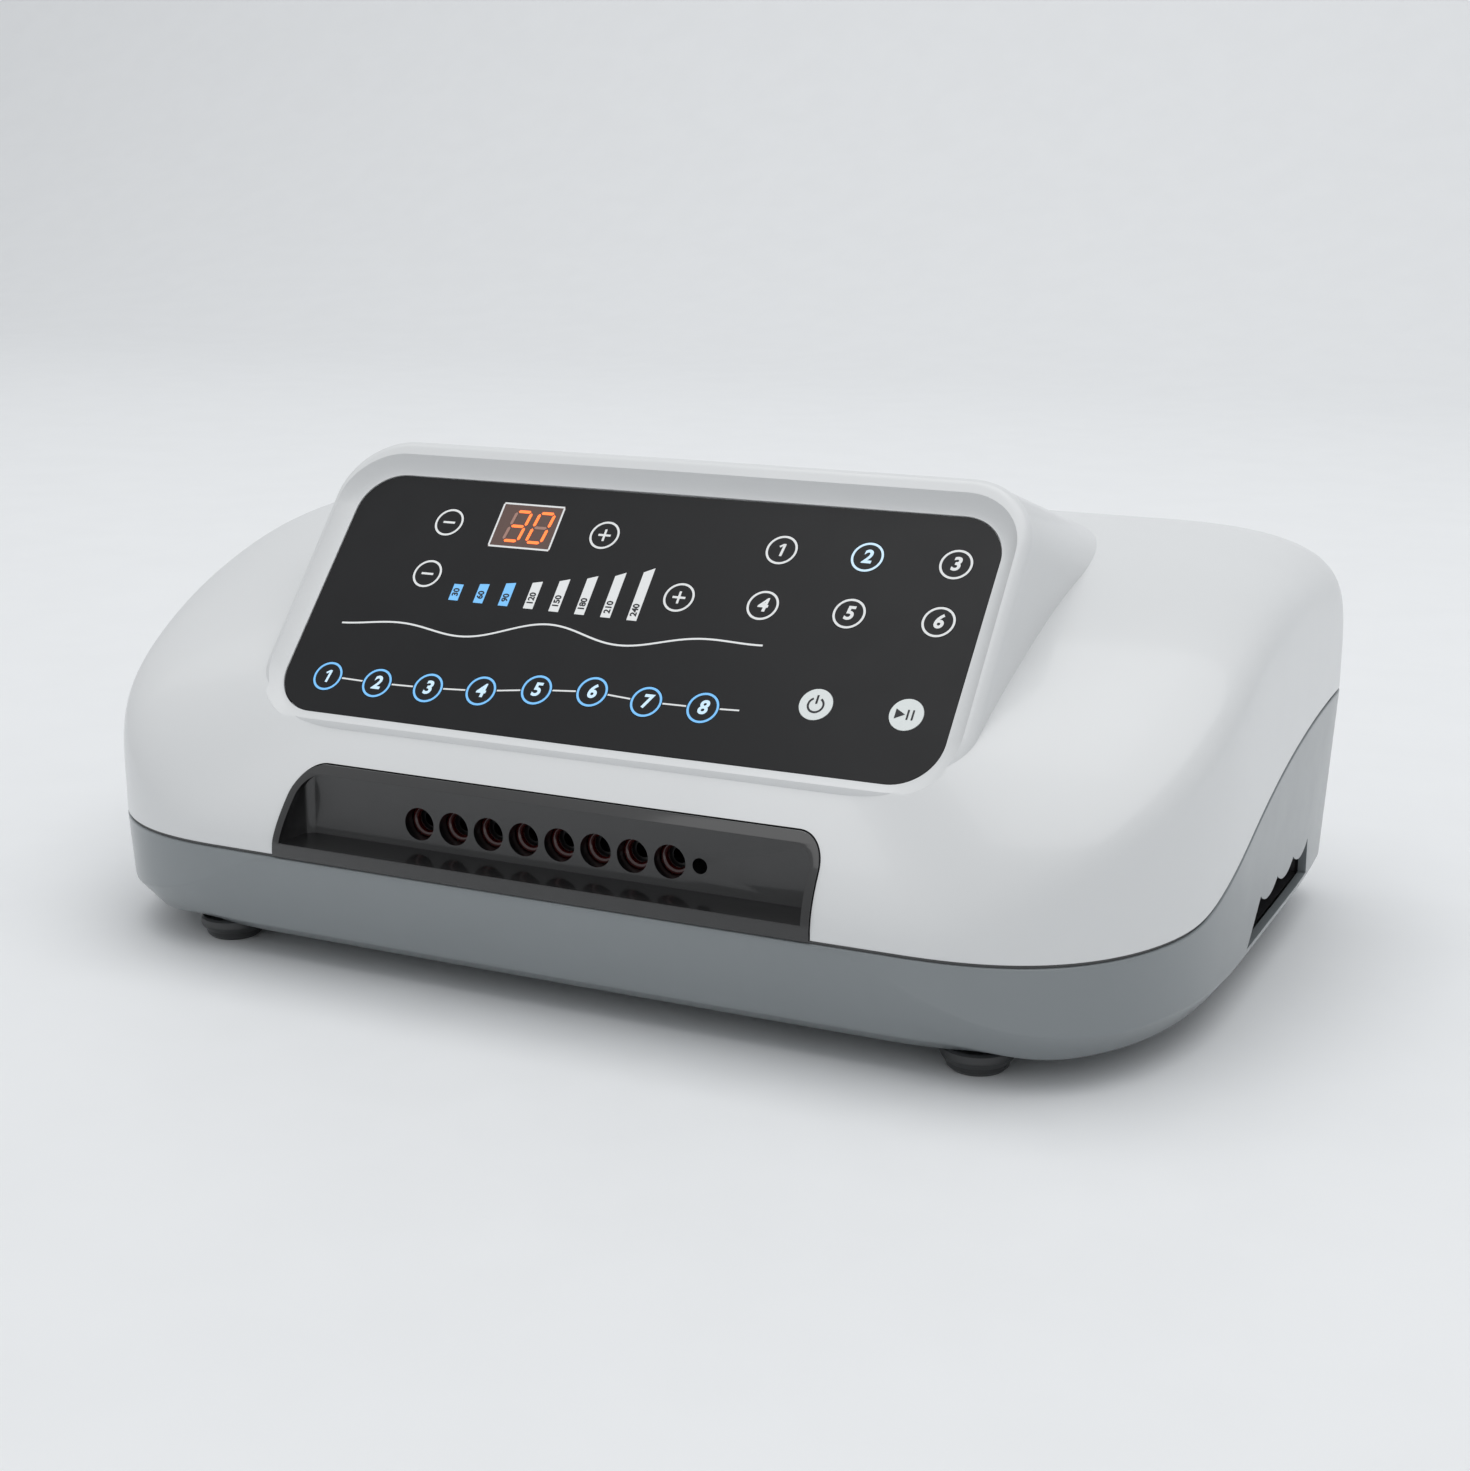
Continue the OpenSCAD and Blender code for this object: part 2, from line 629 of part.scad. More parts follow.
flange_pocket = key_flange_t + key_travel + 0.2;
carrier_low = -sheet_t - ledge_t - carrier_t;
stem_low = carrier_low - 0.35;
board_top = stem_low - switch_gap - switch_h;
module key_carrier() {
    color([0.16, 0.16, 0.17]) on_panel() difference() {
        union() {
            translate([0, 0, carrier_low + carrier_t]) panel_plate(-ledge_w - slack, ledge_t);
            translate([0, 0, carrier_low]) panel_plate(2, carrier_t);
            for (p = board_posts) translate([p[0], p[1], board_top])
                cylinder(r = 3, h = carrier_low - board_top + 1);
        }
        for (k = KEYS) translate([k[1], k[2], 0]) {
            translate([0, 0, -sheet_t - flange_pocket])
                cylinder(r = key_r + key_flange_w + 0.3, h = flange_pocket + 1);
            translate([0, 0, carrier_low - 1]) cylinder(r = key_stem_r + 0.3, h = 10);
        }
        translate([window_u - 1, window_v - 1, carrier_low - 1]) cube([window_w + 2, window_l + 2, 10]);
        for (p = board_posts) translate([p[0], p[1], board_top - 1]) cylinder(r = 1.3, h = 5);
    }
}
board_posts = [for (x = [-1, 0, 1]) for (y = [36, panel_l - 7]) [x * (panel_hw - 12.4), y]];
module key_cap(k) {
    filled = k[0] == "key_power" || k[0] == "key_start";
    color(filled ? white : black) on_panel() translate([k[1], k[2], 0]) {
        translate([0, 0, -sheet_t - key_flange_t]) cylinder(r = key_r + key_flange_w, h = key_flange_t);
        translate([0, 0, -sheet_t - eps]) cylinder(r = key_r, h = sheet_t + eps);
        translate([0, 0, stem_low]) cylinder(r = key_stem_r, h = -sheet_t - stem_low - key_flange_t + eps);
    }
}
module display_module() {
    color([0.9, 0.9, 0.88]) on_panel() translate([window_u + 0.6, window_v + 0.6, board_top])
        cube([window_w - 1, window_l - 1, -sheet_t - 0.3 - board_top]);
}
board_hw = panel_hw - 6.4;
module key_board() {
    color(green) on_panel() difference() {
        translate([-board_hw, 5, board_top - board_t]) cube([2 * board_hw, panel_l - 8, board_t]);
        for (p = board_posts) translate([p[0], p[1], board_top - board_t - 1])
            cylinder(r = 1.6, h = board_t + 2);
    }
}
module dome_switches() {
    color(steel) on_panel() for (k = KEYS) translate([k[1], k[2], board_top])
        rotate_extrude() polygon([[0, 0], [switch_r, 0], [switch_r - 0.4, switch_h * 0.6],
            [switch_r * 0.5, switch_h], [0, switch_h]]);
}
module carrier_screws() {
    color(steel) on_panel() for (p = board_posts) translate([p[0], p[1], 0]) {
        translate([0, 0, board_top - board_t - 1.6]) cylinder(r = 2.4, h = 1.6);
        translate([0, 0, board_top - board_t]) cylinder(r = 1.2, h = board_t + 3.5);
    }
}

// ---------- Rear panel ----------

rear_plate_t = 2.5;
rear_face_y = rear_y - 3.2;
socket_w = 28;
socket_h = 22;
socket_x = inlet_x + 22;
rocker_w = 20;
rocker_h = 12;
rocker_x = inlet_x - 24;
module rear_panel() {
    color([0.12, 0.12, 0.13]) difference() {
        union() {
            translate([inlet_x - rear_w / 2 + slack, rear_face_y - rear_plate_t, inlet_z - rear_h / 2 + slack])
                cube([rear_w - 2 * slack, rear_plate_t, rear_h - 2 * slack]);
            translate([inlet_x - rear_w / 2 - 3, rear_y - 9.9, inlet_z - rear_h / 2 - 2])
                cube([rear_w + 6, 3, rear_h + 4]);
            translate([inlet_x - rear_w / 2 + slack, rear_y - 7.5, inlet_z - rear_h / 2 + slack])
                cube([rear_w - 2 * slack, 3.5, rear_h - 2 * slack]);
        }
        translate([socket_x - socket_w / 2 - 0.2, rear_y - 12, inlet_z - socket_h / 2 - 0.2])
            cube([socket_w + 0.4, 20, socket_h + 0.4]);
        translate([rocker_x - rocker_w / 2 - 1.7, rear_y - 12, inlet_z - rocker_h / 2 - 1.7])
            cube([rocker_w + 3.4, 20, rocker_h + 3.4]);
        translate([inlet_x - 3.2, rear_y - 12, inlet_z - 6.2]) cube([8.4, 20, 12.4]);
    }
}
pin_d = 14;
module mains_inlet() {
    color(black) difference() {
        translate([socket_x - socket_w / 2, rear_y - 24, inlet_z - socket_h / 2])
            cube([socket_w, 22, socket_h]);
        translate([socket_x, rear_y, inlet_z]) rotate([90, 0, 0]) translate([0, 0, -1]) linear_extrude(pin_d + 3)
            polygon([[-12, -8], [12, -8], [12, 4.5], [7.5, 8], [-7.5, 8], [-12, 4.5]]);
    }
}
module inlet_pins() {
    color(steel) for (p = [[-7, -2], [7, -2], [0, 2.5]])
        translate([socket_x + p[0] - 1, rear_y - pin_d - 2, inlet_z + p[1] - 2]) cube([2, pin_d - 3, 4]);
}
module fuse_drawer() {
    color(black) translate([inlet_x - 3, rear_y - 22, inlet_z - 6]) difference() {
        cube([8, 20, 12]);
        translate([2, 19, 4.5]) cube([4, 2, 3]);
    }
}
rocker_y = rear_y - 6.5;
module switch_body() {
    color(black) difference() {
        translate([rocker_x - rocker_w / 2 - 1.5, rear_y - 24, inlet_z - rocker_h / 2 - 1.5])
            cube([rocker_w + 3, 22, rocker_h + 3]);
        translate([rocker_x - rocker_w / 2, rear_y - 14, inlet_z - rocker_h / 2]) cube([rocker_w, 14, rocker_h]);
    }
}
rocker_throw = 16;
module switch_rocker() {
    reach = rocker_w / 2 - 1;
    color([0.08, 0.08, 0.09]) translate([rocker_x, rocker_y - 2, inlet_z - rocker_h / 2 + 0.4])
        rotate([0, 0, -rocker_throw / 2]) {
            linear_extrude(rocker_h - 0.8) polygon([[-reach, 0.5], [reach, 0.5], [reach, 6.4], [0, 5], [-reach, 6.4]]);
            cylinder(r = 2, h = rocker_h - 0.8);
        }
}

// ---------- Air supply ----------

rail_y = port_back_y + bar_d + nozzle_l + 5;
module valve_rail() {
    color([0.85, 0.85, 0.82]) difference() {
        union() {
            translate([port_x0 - 10, rail_y, port_z - 9]) cube([port_pitch * (port_count - 1) + 20, 12, 18]);
            at_ports() translate([0, 0, rail_y - 4]) cylinder(r = nozzle_r, h = 5);
            translate([port_x0 - 18, rail_y + 6, port_z]) rotate([0, 90, 0]) cylinder(r = nozzle_r, h = 9);
            for (sx = [-1, 1])
                translate([port_x0 + port_pitch * (port_count - 1) / 2 + sx * 40 - 4, rail_y + 2, base_z + wall])
                cube([8, 8, port_z - 9 - base_z - wall + 1]);
        }
        at_ports() translate([0, 0, rail_y - 5]) cylinder(r = 2.4, h = 12);
        translate([port_x0 - 20, rail_y + 6, port_z]) rotate([0, 90, 0])
            cylinder(r = 2.4, h = port_pitch * (port_count - 1) + 24);
    }
}
module valve_coils() {
    color([0.15, 0.2, 0.45]) for (k = [0 : port_count - 1])
        translate([port_x0 + k * port_pitch, rail_y + 12, port_z]) rotate([-90, 0, 0]) {
            cylinder(r = 5.2, h = 20);
            translate([0, 0, 20 - eps]) cylinder(r = 2.2, h = 3);
        }
}

pump_x = -60;
pump_y = 32;
pump_l = 84;
pump_z = port_z;
coil_r = 16;
head_disc_r = 26;
frame_t = 2.5;
mount_h = 9;
module pump_frame() {
    z0 = base_z + wall + mount_h;
    color([0.6, 0.61, 0.62]) difference() {
        union() {
            translate([pump_x - pump_l / 2, pump_y - 30, z0]) cube([pump_l, 60, frame_t]);
            for (sx = [-1, 1])
                translate([pump_x + sx * (pump_l / 2 - frame_t / 2) - frame_t / 2, pump_y - 30, z0])
                cube([frame_t, 60, pump_z + head_disc_r - z0 - 2]);
        }
        translate([pump_x - pump_l, pump_y, pump_z]) rotate([0, 90, 0]) cylinder(r = 9, h = 2 * pump_l);
        translate([pump_x - pump_l, pump_y, pump_z + link_rise]) rotate([0, 90, 0])
            cylinder(r = link_r + slack, h = 2 * pump_l);
        for (sx = [-1, 1]) for (sy = [-1, 1])
            translate([pump_x + sx * 32, pump_y + sy * 22, z0 - 1]) cylinder(r = 3, h = 10);
    }
}
module pump_mounts() {
    color(rubber) for (sx = [-1, 1]) for (sy = [-1, 1])
        translate([pump_x + sx * 32, pump_y + sy * 22, base_z + wall])
            rotate_extrude() polygon([[0, 0], [6, 0], [6, 3], [4.4, 4.5], [6, 6], [6, mount_h], [2.8, mount_h],
                [2.8, mount_h + frame_t + 0.3], [0, mount_h + frame_t + 0.3]]);
}
module pump_coils() {
    color(copper) for (sy = [-1, 1]) translate([pump_x, pump_y + sy * 20, pump_z]) rotate([0, 90, 0])
        difference() {
            translate([0, 0, -20]) cylinder(r = 9, h = 40);
            translate([0, 0, -21]) cylinder(r = 4, h = 42);
        }
    color(steel) for (sy = [-1, 1]) translate([pump_x - pump_l / 2 + frame_t, pump_y + sy * 20 - 3, pump_z - 3])
        cube([pump_l - 2 * frame_t, 6, 6]);
}
rod_r = 3;
module pump_armature() {
    color(steel) translate([pump_x, pump_y, pump_z]) rotate([0, 90, 0]) {
        translate([0, 0, -pump_l / 2 - 5]) cylinder(r = rod_r, h = pump_l + 10);
        translate([0, 0, -18]) cylinder(r = 8, h = 36);
    }
}
module pump_head(side) {
    color([0.3, 0.31, 0.33]) translate([pump_x + side * pump_l / 2, pump_y, pump_z])
    rotate([0, side * 90, 0]) difference() {
        union() {
            cylinder(r = head_disc_r, h = 10);
            translate([0, 0, 10 - eps]) cylinder(r = head_disc_r - 6, h = 8);
            if (side < 0) translate([0, 10, 17]) cylinder(r = nozzle_r, h = 9);
        }
        translate([0, 0, -1]) cylinder(r = rod_r + slack, h = 9);
        if (side < 0) translate([0, 10, 10]) cylinder(r = 1.8, h = 20);
    }
}
module pump_head_left() {
    pump_head(-1);
}
module pump_head_right() {
    pump_head(1);
}

// Straight tube that joins the outlets of the two pump heads.
link_r = 3;
link_rise = 19;
module pump_link() {
    color(clear) translate([pump_x - pump_l / 2, pump_y, pump_z + link_rise]) rotate([0, 90, 0]) difference() {
        cylinder(r = link_r, h = pump_l);
        translate([0, 0, -1]) cylinder(r = link_r - 1, h = pump_l + 2);
    }
}

// Hose from the left pump head forward to the valve rail: straights and two quarter bends.
hose_r = 5;
hose_bend = 12;
hose_x0 = pump_x - pump_l / 2 - 19;   // the hose's mouth over the head's spigot
hose_y0 = pump_y + 10;
hose_y1 = rail_y + 6;
hose_x1 = port_x0 - 11;               // the hose's mouth over the rail's spigot
module hose_path(r) {
    x = hose_x0 - 9;
    translate([x, hose_y0, port_z]) rotate([0, 90, 0]) cylinder(r = r, h = hose_x0 - x);
    translate([x, hose_y0 - hose_bend, port_z]) rotate([0, 0, 90]) rotate_extrude(angle = 90)
        translate([hose_bend, 0]) circle(r);
    translate([x - hose_bend, hose_y1 + hose_bend, port_z]) rotate([-90, 0, 0])
        cylinder(r = r, h = hose_y0 - hose_y1 - 2 * hose_bend);
    translate([x, hose_y1 + hose_bend, port_z]) rotate([0, 0, 180]) rotate_extrude(angle = 90)
        translate([hose_bend, 0]) circle(r);
    translate([x, hose_y1, port_z]) rotate([0, 90, 0]) cylinder(r = r, h = hose_x1 - x);
}
module supply_hose() {
    color(clear) difference() {
        hose_path(hose_r);
        hose_path(nozzle_r);
    }
}

// ---------- Electronics ----------

board_x = 40;
board_y = 20;
main_board_l = 80;
standoff = 6;
module main_board() {
    color(green) translate([board_x - 30, board_y - main_board_l / 2, base_z + wall + standoff])
        cube([main_board_l, main_board_l, board_t]);
    color(steel) for (sx = [-26, main_board_l - 34]) for (sy = [-1, 1])
        translate([board_x + sx, board_y + sy * (main_board_l / 2 - 4), base_z + wall])
            cylinder(r = 3, h = standoff);
}
module board_parts() {
    z = base_z + wall + standoff + board_t;
    color([0.1, 0.1, 0.11]) {
        translate([board_x - 20, board_y - 10, z]) cube([14, 14, 2]);
        translate([board_x + 6, board_y - 30, z]) cube([22, 10, 9]);
        for (k = [0 : 2]) translate([board_x + 4 + k * 13, board_y + 24, z]) cylinder(r = 5, h = 16);
    }
}
module pressure_sensor() {
    z = base_z + wall + standoff + board_t;
    color([0.9, 0.9, 0.88]) translate([board_x - 16, board_y + 16, z]) {
        cube([12, 12, 6]);
        translate([6, 6, 6 - eps]) cylinder(r = 2, h = 7);
    }
}
// Mains transformer: a frame of laminations round a square bobbin.
core_x = 98;
core_y = 10;
core_w = 44;
core_l = 52;
core_h = 42;
limb = 8;
bobbin_out = 4;
module transformer() {
    z0 = base_z + wall;
    color([0.5, 0.5, 0.52]) difference() {
        translate([core_x, core_y, z0]) cube([core_w, core_l, core_h]);
        translate([core_x - 1, core_y + limb, z0 + limb + 1])
            cube([core_w + 2, core_l - 2 * limb, core_h - 2 * limb - 2]);
    }
    color([0.8, 0.65, 0.2]) translate([core_x - bobbin_out, core_y + limb + slack, z0 + limb + 1])
        cube([core_w + 2 * bobbin_out, core_l - 2 * limb - 2 * slack, core_h - 2 * limb - 2 - slack]);
}
// Flat cable from the back of the key board down to the main board, as a folded strip.
ribbon_end_z = base_z + wall + standoff + board_t + 0.1;
ribbon_path = [[-44.5, 96], [-40, 91], [-33, 80], [-24, 62], [-16, 44], [-13, 34], [-12, 26],
    [-12, ribbon_end_z]];
module ribbon_cable() {
    color([0.6, 0.6, 0.65]) translate([24, 0, 0]) rotate([90, 0, 90]) linear_extrude(22)
        polygon(concat(ribbon_path,
            [for (k = [len(ribbon_path) - 1 : -1 : 0]) ribbon_path[k] + [0.9, 0.3 * sign(k)]]));
}

upper_cover();
lower_case();
seam_gasket();
port_housing();
port_rings();
nozzle_bar();
panel_sheet();
key_carrier();
display_window();
display_module();
key_board();
dome_switches();
carrier_screws();
feet();
foot_screws();
case_screws();
grip_left();
grip_right();
rear_panel();
mains_inlet();
inlet_pins();
fuse_drawer();
switch_rocker();
switch_body();
valve_rail();
valve_coils();
port_hoses();
pump_frame();
pump_mounts();
pump_coils();
pump_armature();
pump_head_left();
pump_head_right();
pump_link();
supply_hose();
main_board();
board_parts();
pressure_sensor();
transformer();
ribbon_cable();
for (k = KEYS) key_cap(k);
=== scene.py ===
# %% [markdown]
# # A compression therapy pump, dressed for the camera
#
# The pump is a domed white case on a grey base, with a black key panel on a raised,
# sloping head and a black recess with eight hose ports below it. The solids come packed
# from the CAD model and are loaded as a fixed frame. This script adds what a CAD solid
# lacks: finely rounded skins for the case, the print on the keys, and the materials.

# %% Load the frame
import math

import bmesh
import bpy
import numpy as np
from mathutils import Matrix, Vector


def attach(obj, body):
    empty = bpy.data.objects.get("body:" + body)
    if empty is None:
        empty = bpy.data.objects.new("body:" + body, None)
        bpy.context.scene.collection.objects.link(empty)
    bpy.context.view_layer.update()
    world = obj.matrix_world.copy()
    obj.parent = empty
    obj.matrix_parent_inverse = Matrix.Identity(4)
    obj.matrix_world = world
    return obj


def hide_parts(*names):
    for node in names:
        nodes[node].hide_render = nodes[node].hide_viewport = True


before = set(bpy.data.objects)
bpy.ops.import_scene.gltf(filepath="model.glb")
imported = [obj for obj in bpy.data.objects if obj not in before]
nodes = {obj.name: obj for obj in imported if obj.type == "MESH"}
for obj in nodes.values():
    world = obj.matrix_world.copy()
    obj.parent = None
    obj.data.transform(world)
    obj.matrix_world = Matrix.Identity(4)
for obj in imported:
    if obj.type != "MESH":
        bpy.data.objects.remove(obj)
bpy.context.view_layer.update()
MM = 0.001

# %% [markdown]
# ## Driving sizes
#
# The case is drawn with a few curves, and both halves share them. Their sizes are the
# same as in the CAD model and are written in millimetres, which suit an object of this
# size. A mesh is turned into metres only when it is made.

# %% Sizes of the case, in millimetres
BODY_W, BODY_D, WALL, SLACK = 360.0, 229.0, 2.5, 0.3
HALF_W, FRONT_Y, REAR_Y = BODY_W / 2, -BODY_D / 2, BODY_D / 2
# Plan: front corners as squarish ellipses, small rear corners, a slight bow, a rounded lip
CORNER_X, CORNER_Y, CORNER_POWER, REAR_R = 74.0, 97.0, 2.62, 22.5
BOW, LIP = 0.5, 0.5
OUTLINE_STEPS = 8, 44, 20, 14
# Seam: height in front, climb, where the climb starts and ends, gap, and the climb's form
SEAM_Z, SEAM_RISE, SEAM_START, SEAM_END, SEAM_GAP = 37.0, 34.7, -57.8, 115.0, 0.9
SEAM_POWER, SEAM_SOFT = 2.36, 10.0
# Dome: height, where the two slopes meet, their falls, and the form of the walls
DOME_Z, ROOF_MEET_Y, FALL_FRONT, FALL_REAR, CROWN = 129.4, 3.5, 0.49, 0.004, 40.0
DOME_MIDDLE = -17.3
DOME_FRONT, DOME_SIDE, DOME_REAR = (2.89, 1.96), (4.97, 12.5), (6.09, 5.25)
FACING_POWER = 1.89
# Panel and head: tilt, lower edge, size, then the frame round it, draft, cut and flare
PANEL_TILT = math.radians(47.4)
PANEL_Y, PANEL_Z, PANEL_W, PANEL_L, PANEL_R = -86.0, 75.0, 216.8, 87.0, 14.0
FRAME_SIDE, FRAME_TOP, FRAME_LOW, FRAME_LIFT, RIDGE_R = 8.3, 12.2, 6.0, 4.4, 4.2
HEAD_DRAFT, HEAD_ROOF_DRAFT = math.tan(math.radians(5)), math.tan(math.radians(26.4))
HEAD_DEEP, HEAD_CUT, HEAD_CUT_SLOPE, RIDGE_LOW, RIDGE_RUN = 80, 10, 0.63, 0.8, 40
FLARE_OUT, FLARE_LOW, FLARE_UP, FLARE_POWER = 6, 4.2, 5, 1.45
print("the case is", BODY_W, "x", BODY_D, "mm in plan")

# %% [markdown]
# ## Making a mesh from an array
#
# Nearly every skin here is a grid: one index runs round a ring or a section, the other
# runs up or along. With numpy the whole grid is worked out at once, and from_pydata
# takes the finished lists. A loft closes its own ends. Every finished piece gets its
# material and rides on its CAD body.

# %% Grids, loft and placing
def grid_faces(m, n, wrap_m=False, wrap_n=True):
    """Quads of an m by n grid whose columns (and rows, if asked) join up again at the end."""
    i = np.arange(m if wrap_m else m - 1)[:, None]
    j = np.arange(n if wrap_n else n - 1)[None, :]
    a, b = i * n + j, i * n + (j + 1) % n
    c, d = ((i + 1) % m) * n + (j + 1) % n, ((i + 1) % m) * n + j
    return np.stack(np.broadcast_arrays(a, b, c, d), -1).reshape(-1, 4)


def capped_faces(m, n):
    """Faces of m stacked rings of n points each, closed by one flat face at either end."""
    return grid_faces(m, n).tolist() + [list(range(n))[::-1], list(range((m - 1) * n, m * n))]


def link(name, data):
    """A new object that holds the data, linked to the scene."""
    piece = bpy.data.objects.new(name, data)
    bpy.context.scene.collection.objects.link(piece)
    return piece


def make(name, points, faces):
    """An object at the origin from points in millimetres and a list of faces."""
    mesh = bpy.data.meshes.new(name)
    mesh.from_pydata((np.asarray(points, float).reshape(-1, 3) * MM).tolist(), [],
                     [list(map(int, f)) for f in faces])
    mesh.validate()
    return link(name, mesh)


def outward(piece):
    """Turns every face of a closed mesh outwards."""
    bm = bmesh.new()
    bm.from_mesh(piece.data)
    bmesh.ops.remove_doubles(bm, verts=bm.verts, dist=1e-7)
    bmesh.ops.recalc_face_normals(bm, faces=bm.faces)
    bm.to_mesh(piece.data)
    bm.free()
    return piece


def loft(name, rings):
    """A closed skin through rings that mirror left to right; each end is capped with strips
    that run from a point to its mirror point, so that a bent ring closes without a fold."""
    rings = np.asarray(rings)
    m, n = rings.shape[:2]
    faces = grid_faces(m, n).tolist()
    j = np.arange(n // 2)
    cap = np.stack([(n - j) % n, n - j - 1, j + 1, j], -1)
    for first, quads in ((0, cap), ((m - 1) * n, cap[:, ::-1])):
        faces += [list(dict.fromkeys((q + first).tolist())) for q in quads]
    return outward(make(name, rings, [f for f in faces if len(f) > 2]))


def ride(piece, body, stands_for=()):
    """The piece moves with a CAD body and stands for CAD nodes, which it hides."""
    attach(piece, body)
    if stands_for:
        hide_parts(*stands_for)
    return piece


def paint(piece, material):
    """Puts one material on the whole piece."""
    piece.data.materials.clear()
    piece.data.materials.append(material)
    return piece


print("grid of 3 by 4 has", len(grid_faces(3, 4)), "quads")

# %% [markdown]
# ## Cutting and smoothing
#
# A moulded case is one skin with windows in it. Exact booleans cut the windows; the cut
# is written into the mesh at once, so no modifier is left. Afterwards faces are shaded
# smooth and only the edges that really are sharp stay sharp.

# %% Booleans and smoothing
def evaluated(piece):
    """A new mesh of the object as Blender shows it, with its modifiers applied."""
    graph = bpy.context.evaluated_depsgraph_get()
    return bpy.data.meshes.new_from_object(piece.evaluated_get(graph))


def settle(piece):
    """Writes a piece's modifiers into its mesh."""
    done = evaluated(piece)
    piece.modifiers.clear()
    piece.data = done
    done.name = piece.name
    return piece


def carve(piece, tool, how="DIFFERENCE"):
    """Joins a tool to a piece or cuts it away, then throws the tool away."""
    step = piece.modifiers.new("carve", "BOOLEAN")
    step.operation, step.object, step.solver = how, tool, "EXACT"
    settle(piece)
    bpy.data.objects.remove(tool)
    return piece


def smooth(piece, angle=30):
    """Shades a piece smooth and keeps the edges sharper than the angle, in degrees."""
    mesh = piece.data
    mesh.polygons.foreach_set("use_smooth", np.ones(len(mesh.polygons), bool))
    mesh.set_sharp_from_angle(angle=math.radians(angle))
    return piece


def soften(piece, width_mm, segments=3, angle=35):
    """Rounds the edges sharper than an angle with a Bevel modifier, then shades smooth."""
    step = piece.modifiers.new("round", "BEVEL")
    step.width, step.segments, step.limit_method = width_mm * MM, segments, "ANGLE"
    step.angle_limit, step.use_clamp_overlap = math.radians(angle), True
    return smooth(settle(piece), 40)


def slab(outline, low, high):
    """Points of a flat outline of (a, b) points at two heights."""
    ab = np.asarray(outline, float)
    return np.vstack([np.c_[ab, np.full(len(ab), h)] for h in (low, high)])


AXIS_ORDER = {"z": [0, 1, 2], "y": [0, 2, 1], "x": [2, 0, 1]}


def prism(name, outline, low, high, axis="z"):
    """A closed outline of (a, b) points carried straight from low to high along an axis."""
    points = slab(outline, low, high)[:, AXIS_ORDER[axis]]
    return outward(make(name, points, capped_faces(2, len(outline))))


def turned(name, profile, centre, steps=48, axis="z"):
    """A profile of (radius, height) points carried round an axis through a centre."""
    r, h = np.asarray(profile, float).T
    a = np.linspace(0, 2 * np.pi, steps, endpoint=False)
    ring = np.stack([r[:, None] * np.cos(a), r[:, None] * np.sin(a),
                     np.broadcast_to(h[:, None], (len(r), steps))], -1)
    ring = ring[..., AXIS_ORDER[axis]] + np.asarray(centre)
    return outward(make(name, ring, capped_faces(len(r), steps)))


def joined(name, pieces):
    """One object from several separate closed solids."""
    bm = bmesh.new()
    for p in pieces:
        bm.from_mesh(p.data)
        bpy.data.objects.remove(p)
    mesh = bpy.data.meshes.new(name)
    bm.to_mesh(mesh)
    bm.free()
    return link(name, mesh)


print("helpers for cutting and smoothing are ready")

# %% [markdown]
# ## Materials of the real thing
#
# A moulded plastic is never one flat colour: its gloss wanders a little over the part,
# and a fine texture from the steel mould breaks up the highlight. Both are noise on
# Object coordinates, so the pattern stays put on the part. A constant such as the coat's
# roughness is set on the shader's own socket.

# %% A node helper and the plastics
def shader(name):
    """A new material with its Principled shader and Object coordinates."""
    mat = bpy.data.materials.new(name)
    mat.use_nodes = True
    tree = mat.node_tree
    place = tree.nodes.new("ShaderNodeTexCoord").outputs["Object"]
    return mat, tree, tree.nodes["Principled BSDF"], place


def noise(tree, place, size_mm, detail=3.0, stretch=(1, 1, 1)):
    """Noise whose blobs are about size_mm across, drawn out along an axis by stretch."""
    turn = tree.nodes.new("ShaderNodeMapping")
    turn.inputs["Scale"].default_value = [1 / s for s in stretch]
    node = tree.nodes.new("ShaderNodeTexNoise")
    node.inputs["Scale"].default_value = 1000 / size_mm
    node.inputs["Detail"].default_value = detail
    tree.links.new(place, turn.inputs["Vector"])
    tree.links.new(turn.outputs["Vector"], node.inputs["Vector"])
    return node.outputs["Fac"]


def spread(tree, value, low, high):
    """Maps noise, which lies mostly between 0.3 and 0.7, to the range low to high."""
    node = tree.nodes.new("ShaderNodeMapRange")
    for key, number in (("From Min", 0.3), ("From Max", 0.7), ("To Min", low), ("To Max", high)):
        node.inputs[key].default_value = number
    tree.links.new(value, node.inputs["Value"])
    return node.outputs["Result"]


def tint(tree, value, first, second):
    """A colour that wanders between two colours with a value."""
    node = tree.nodes.new("ShaderNodeValToRGB")
    for stop, colour, at in zip(node.color_ramp.elements, (first, second), (0.35, 0.65)):
        stop.color, stop.position = (*colour, 1), at
    tree.links.new(value, node.inputs["Fac"])
    return node.outputs["Color"]


def relief(tree, value, depth_mm, target):
    """Bump of a real depth, joined to the shader's normal."""
    node = tree.nodes.new("ShaderNodeBump")
    node.inputs["Distance"].default_value = depth_mm * MM
    tree.links.new(value, node.inputs["Height"])
    tree.links.new(node.outputs["Normal"], target.inputs["Normal"])


def shade(colour, share):
    """The colour made darker or lighter by a share, and never over 1."""
    return [min(c * share, 1) for c in colour]


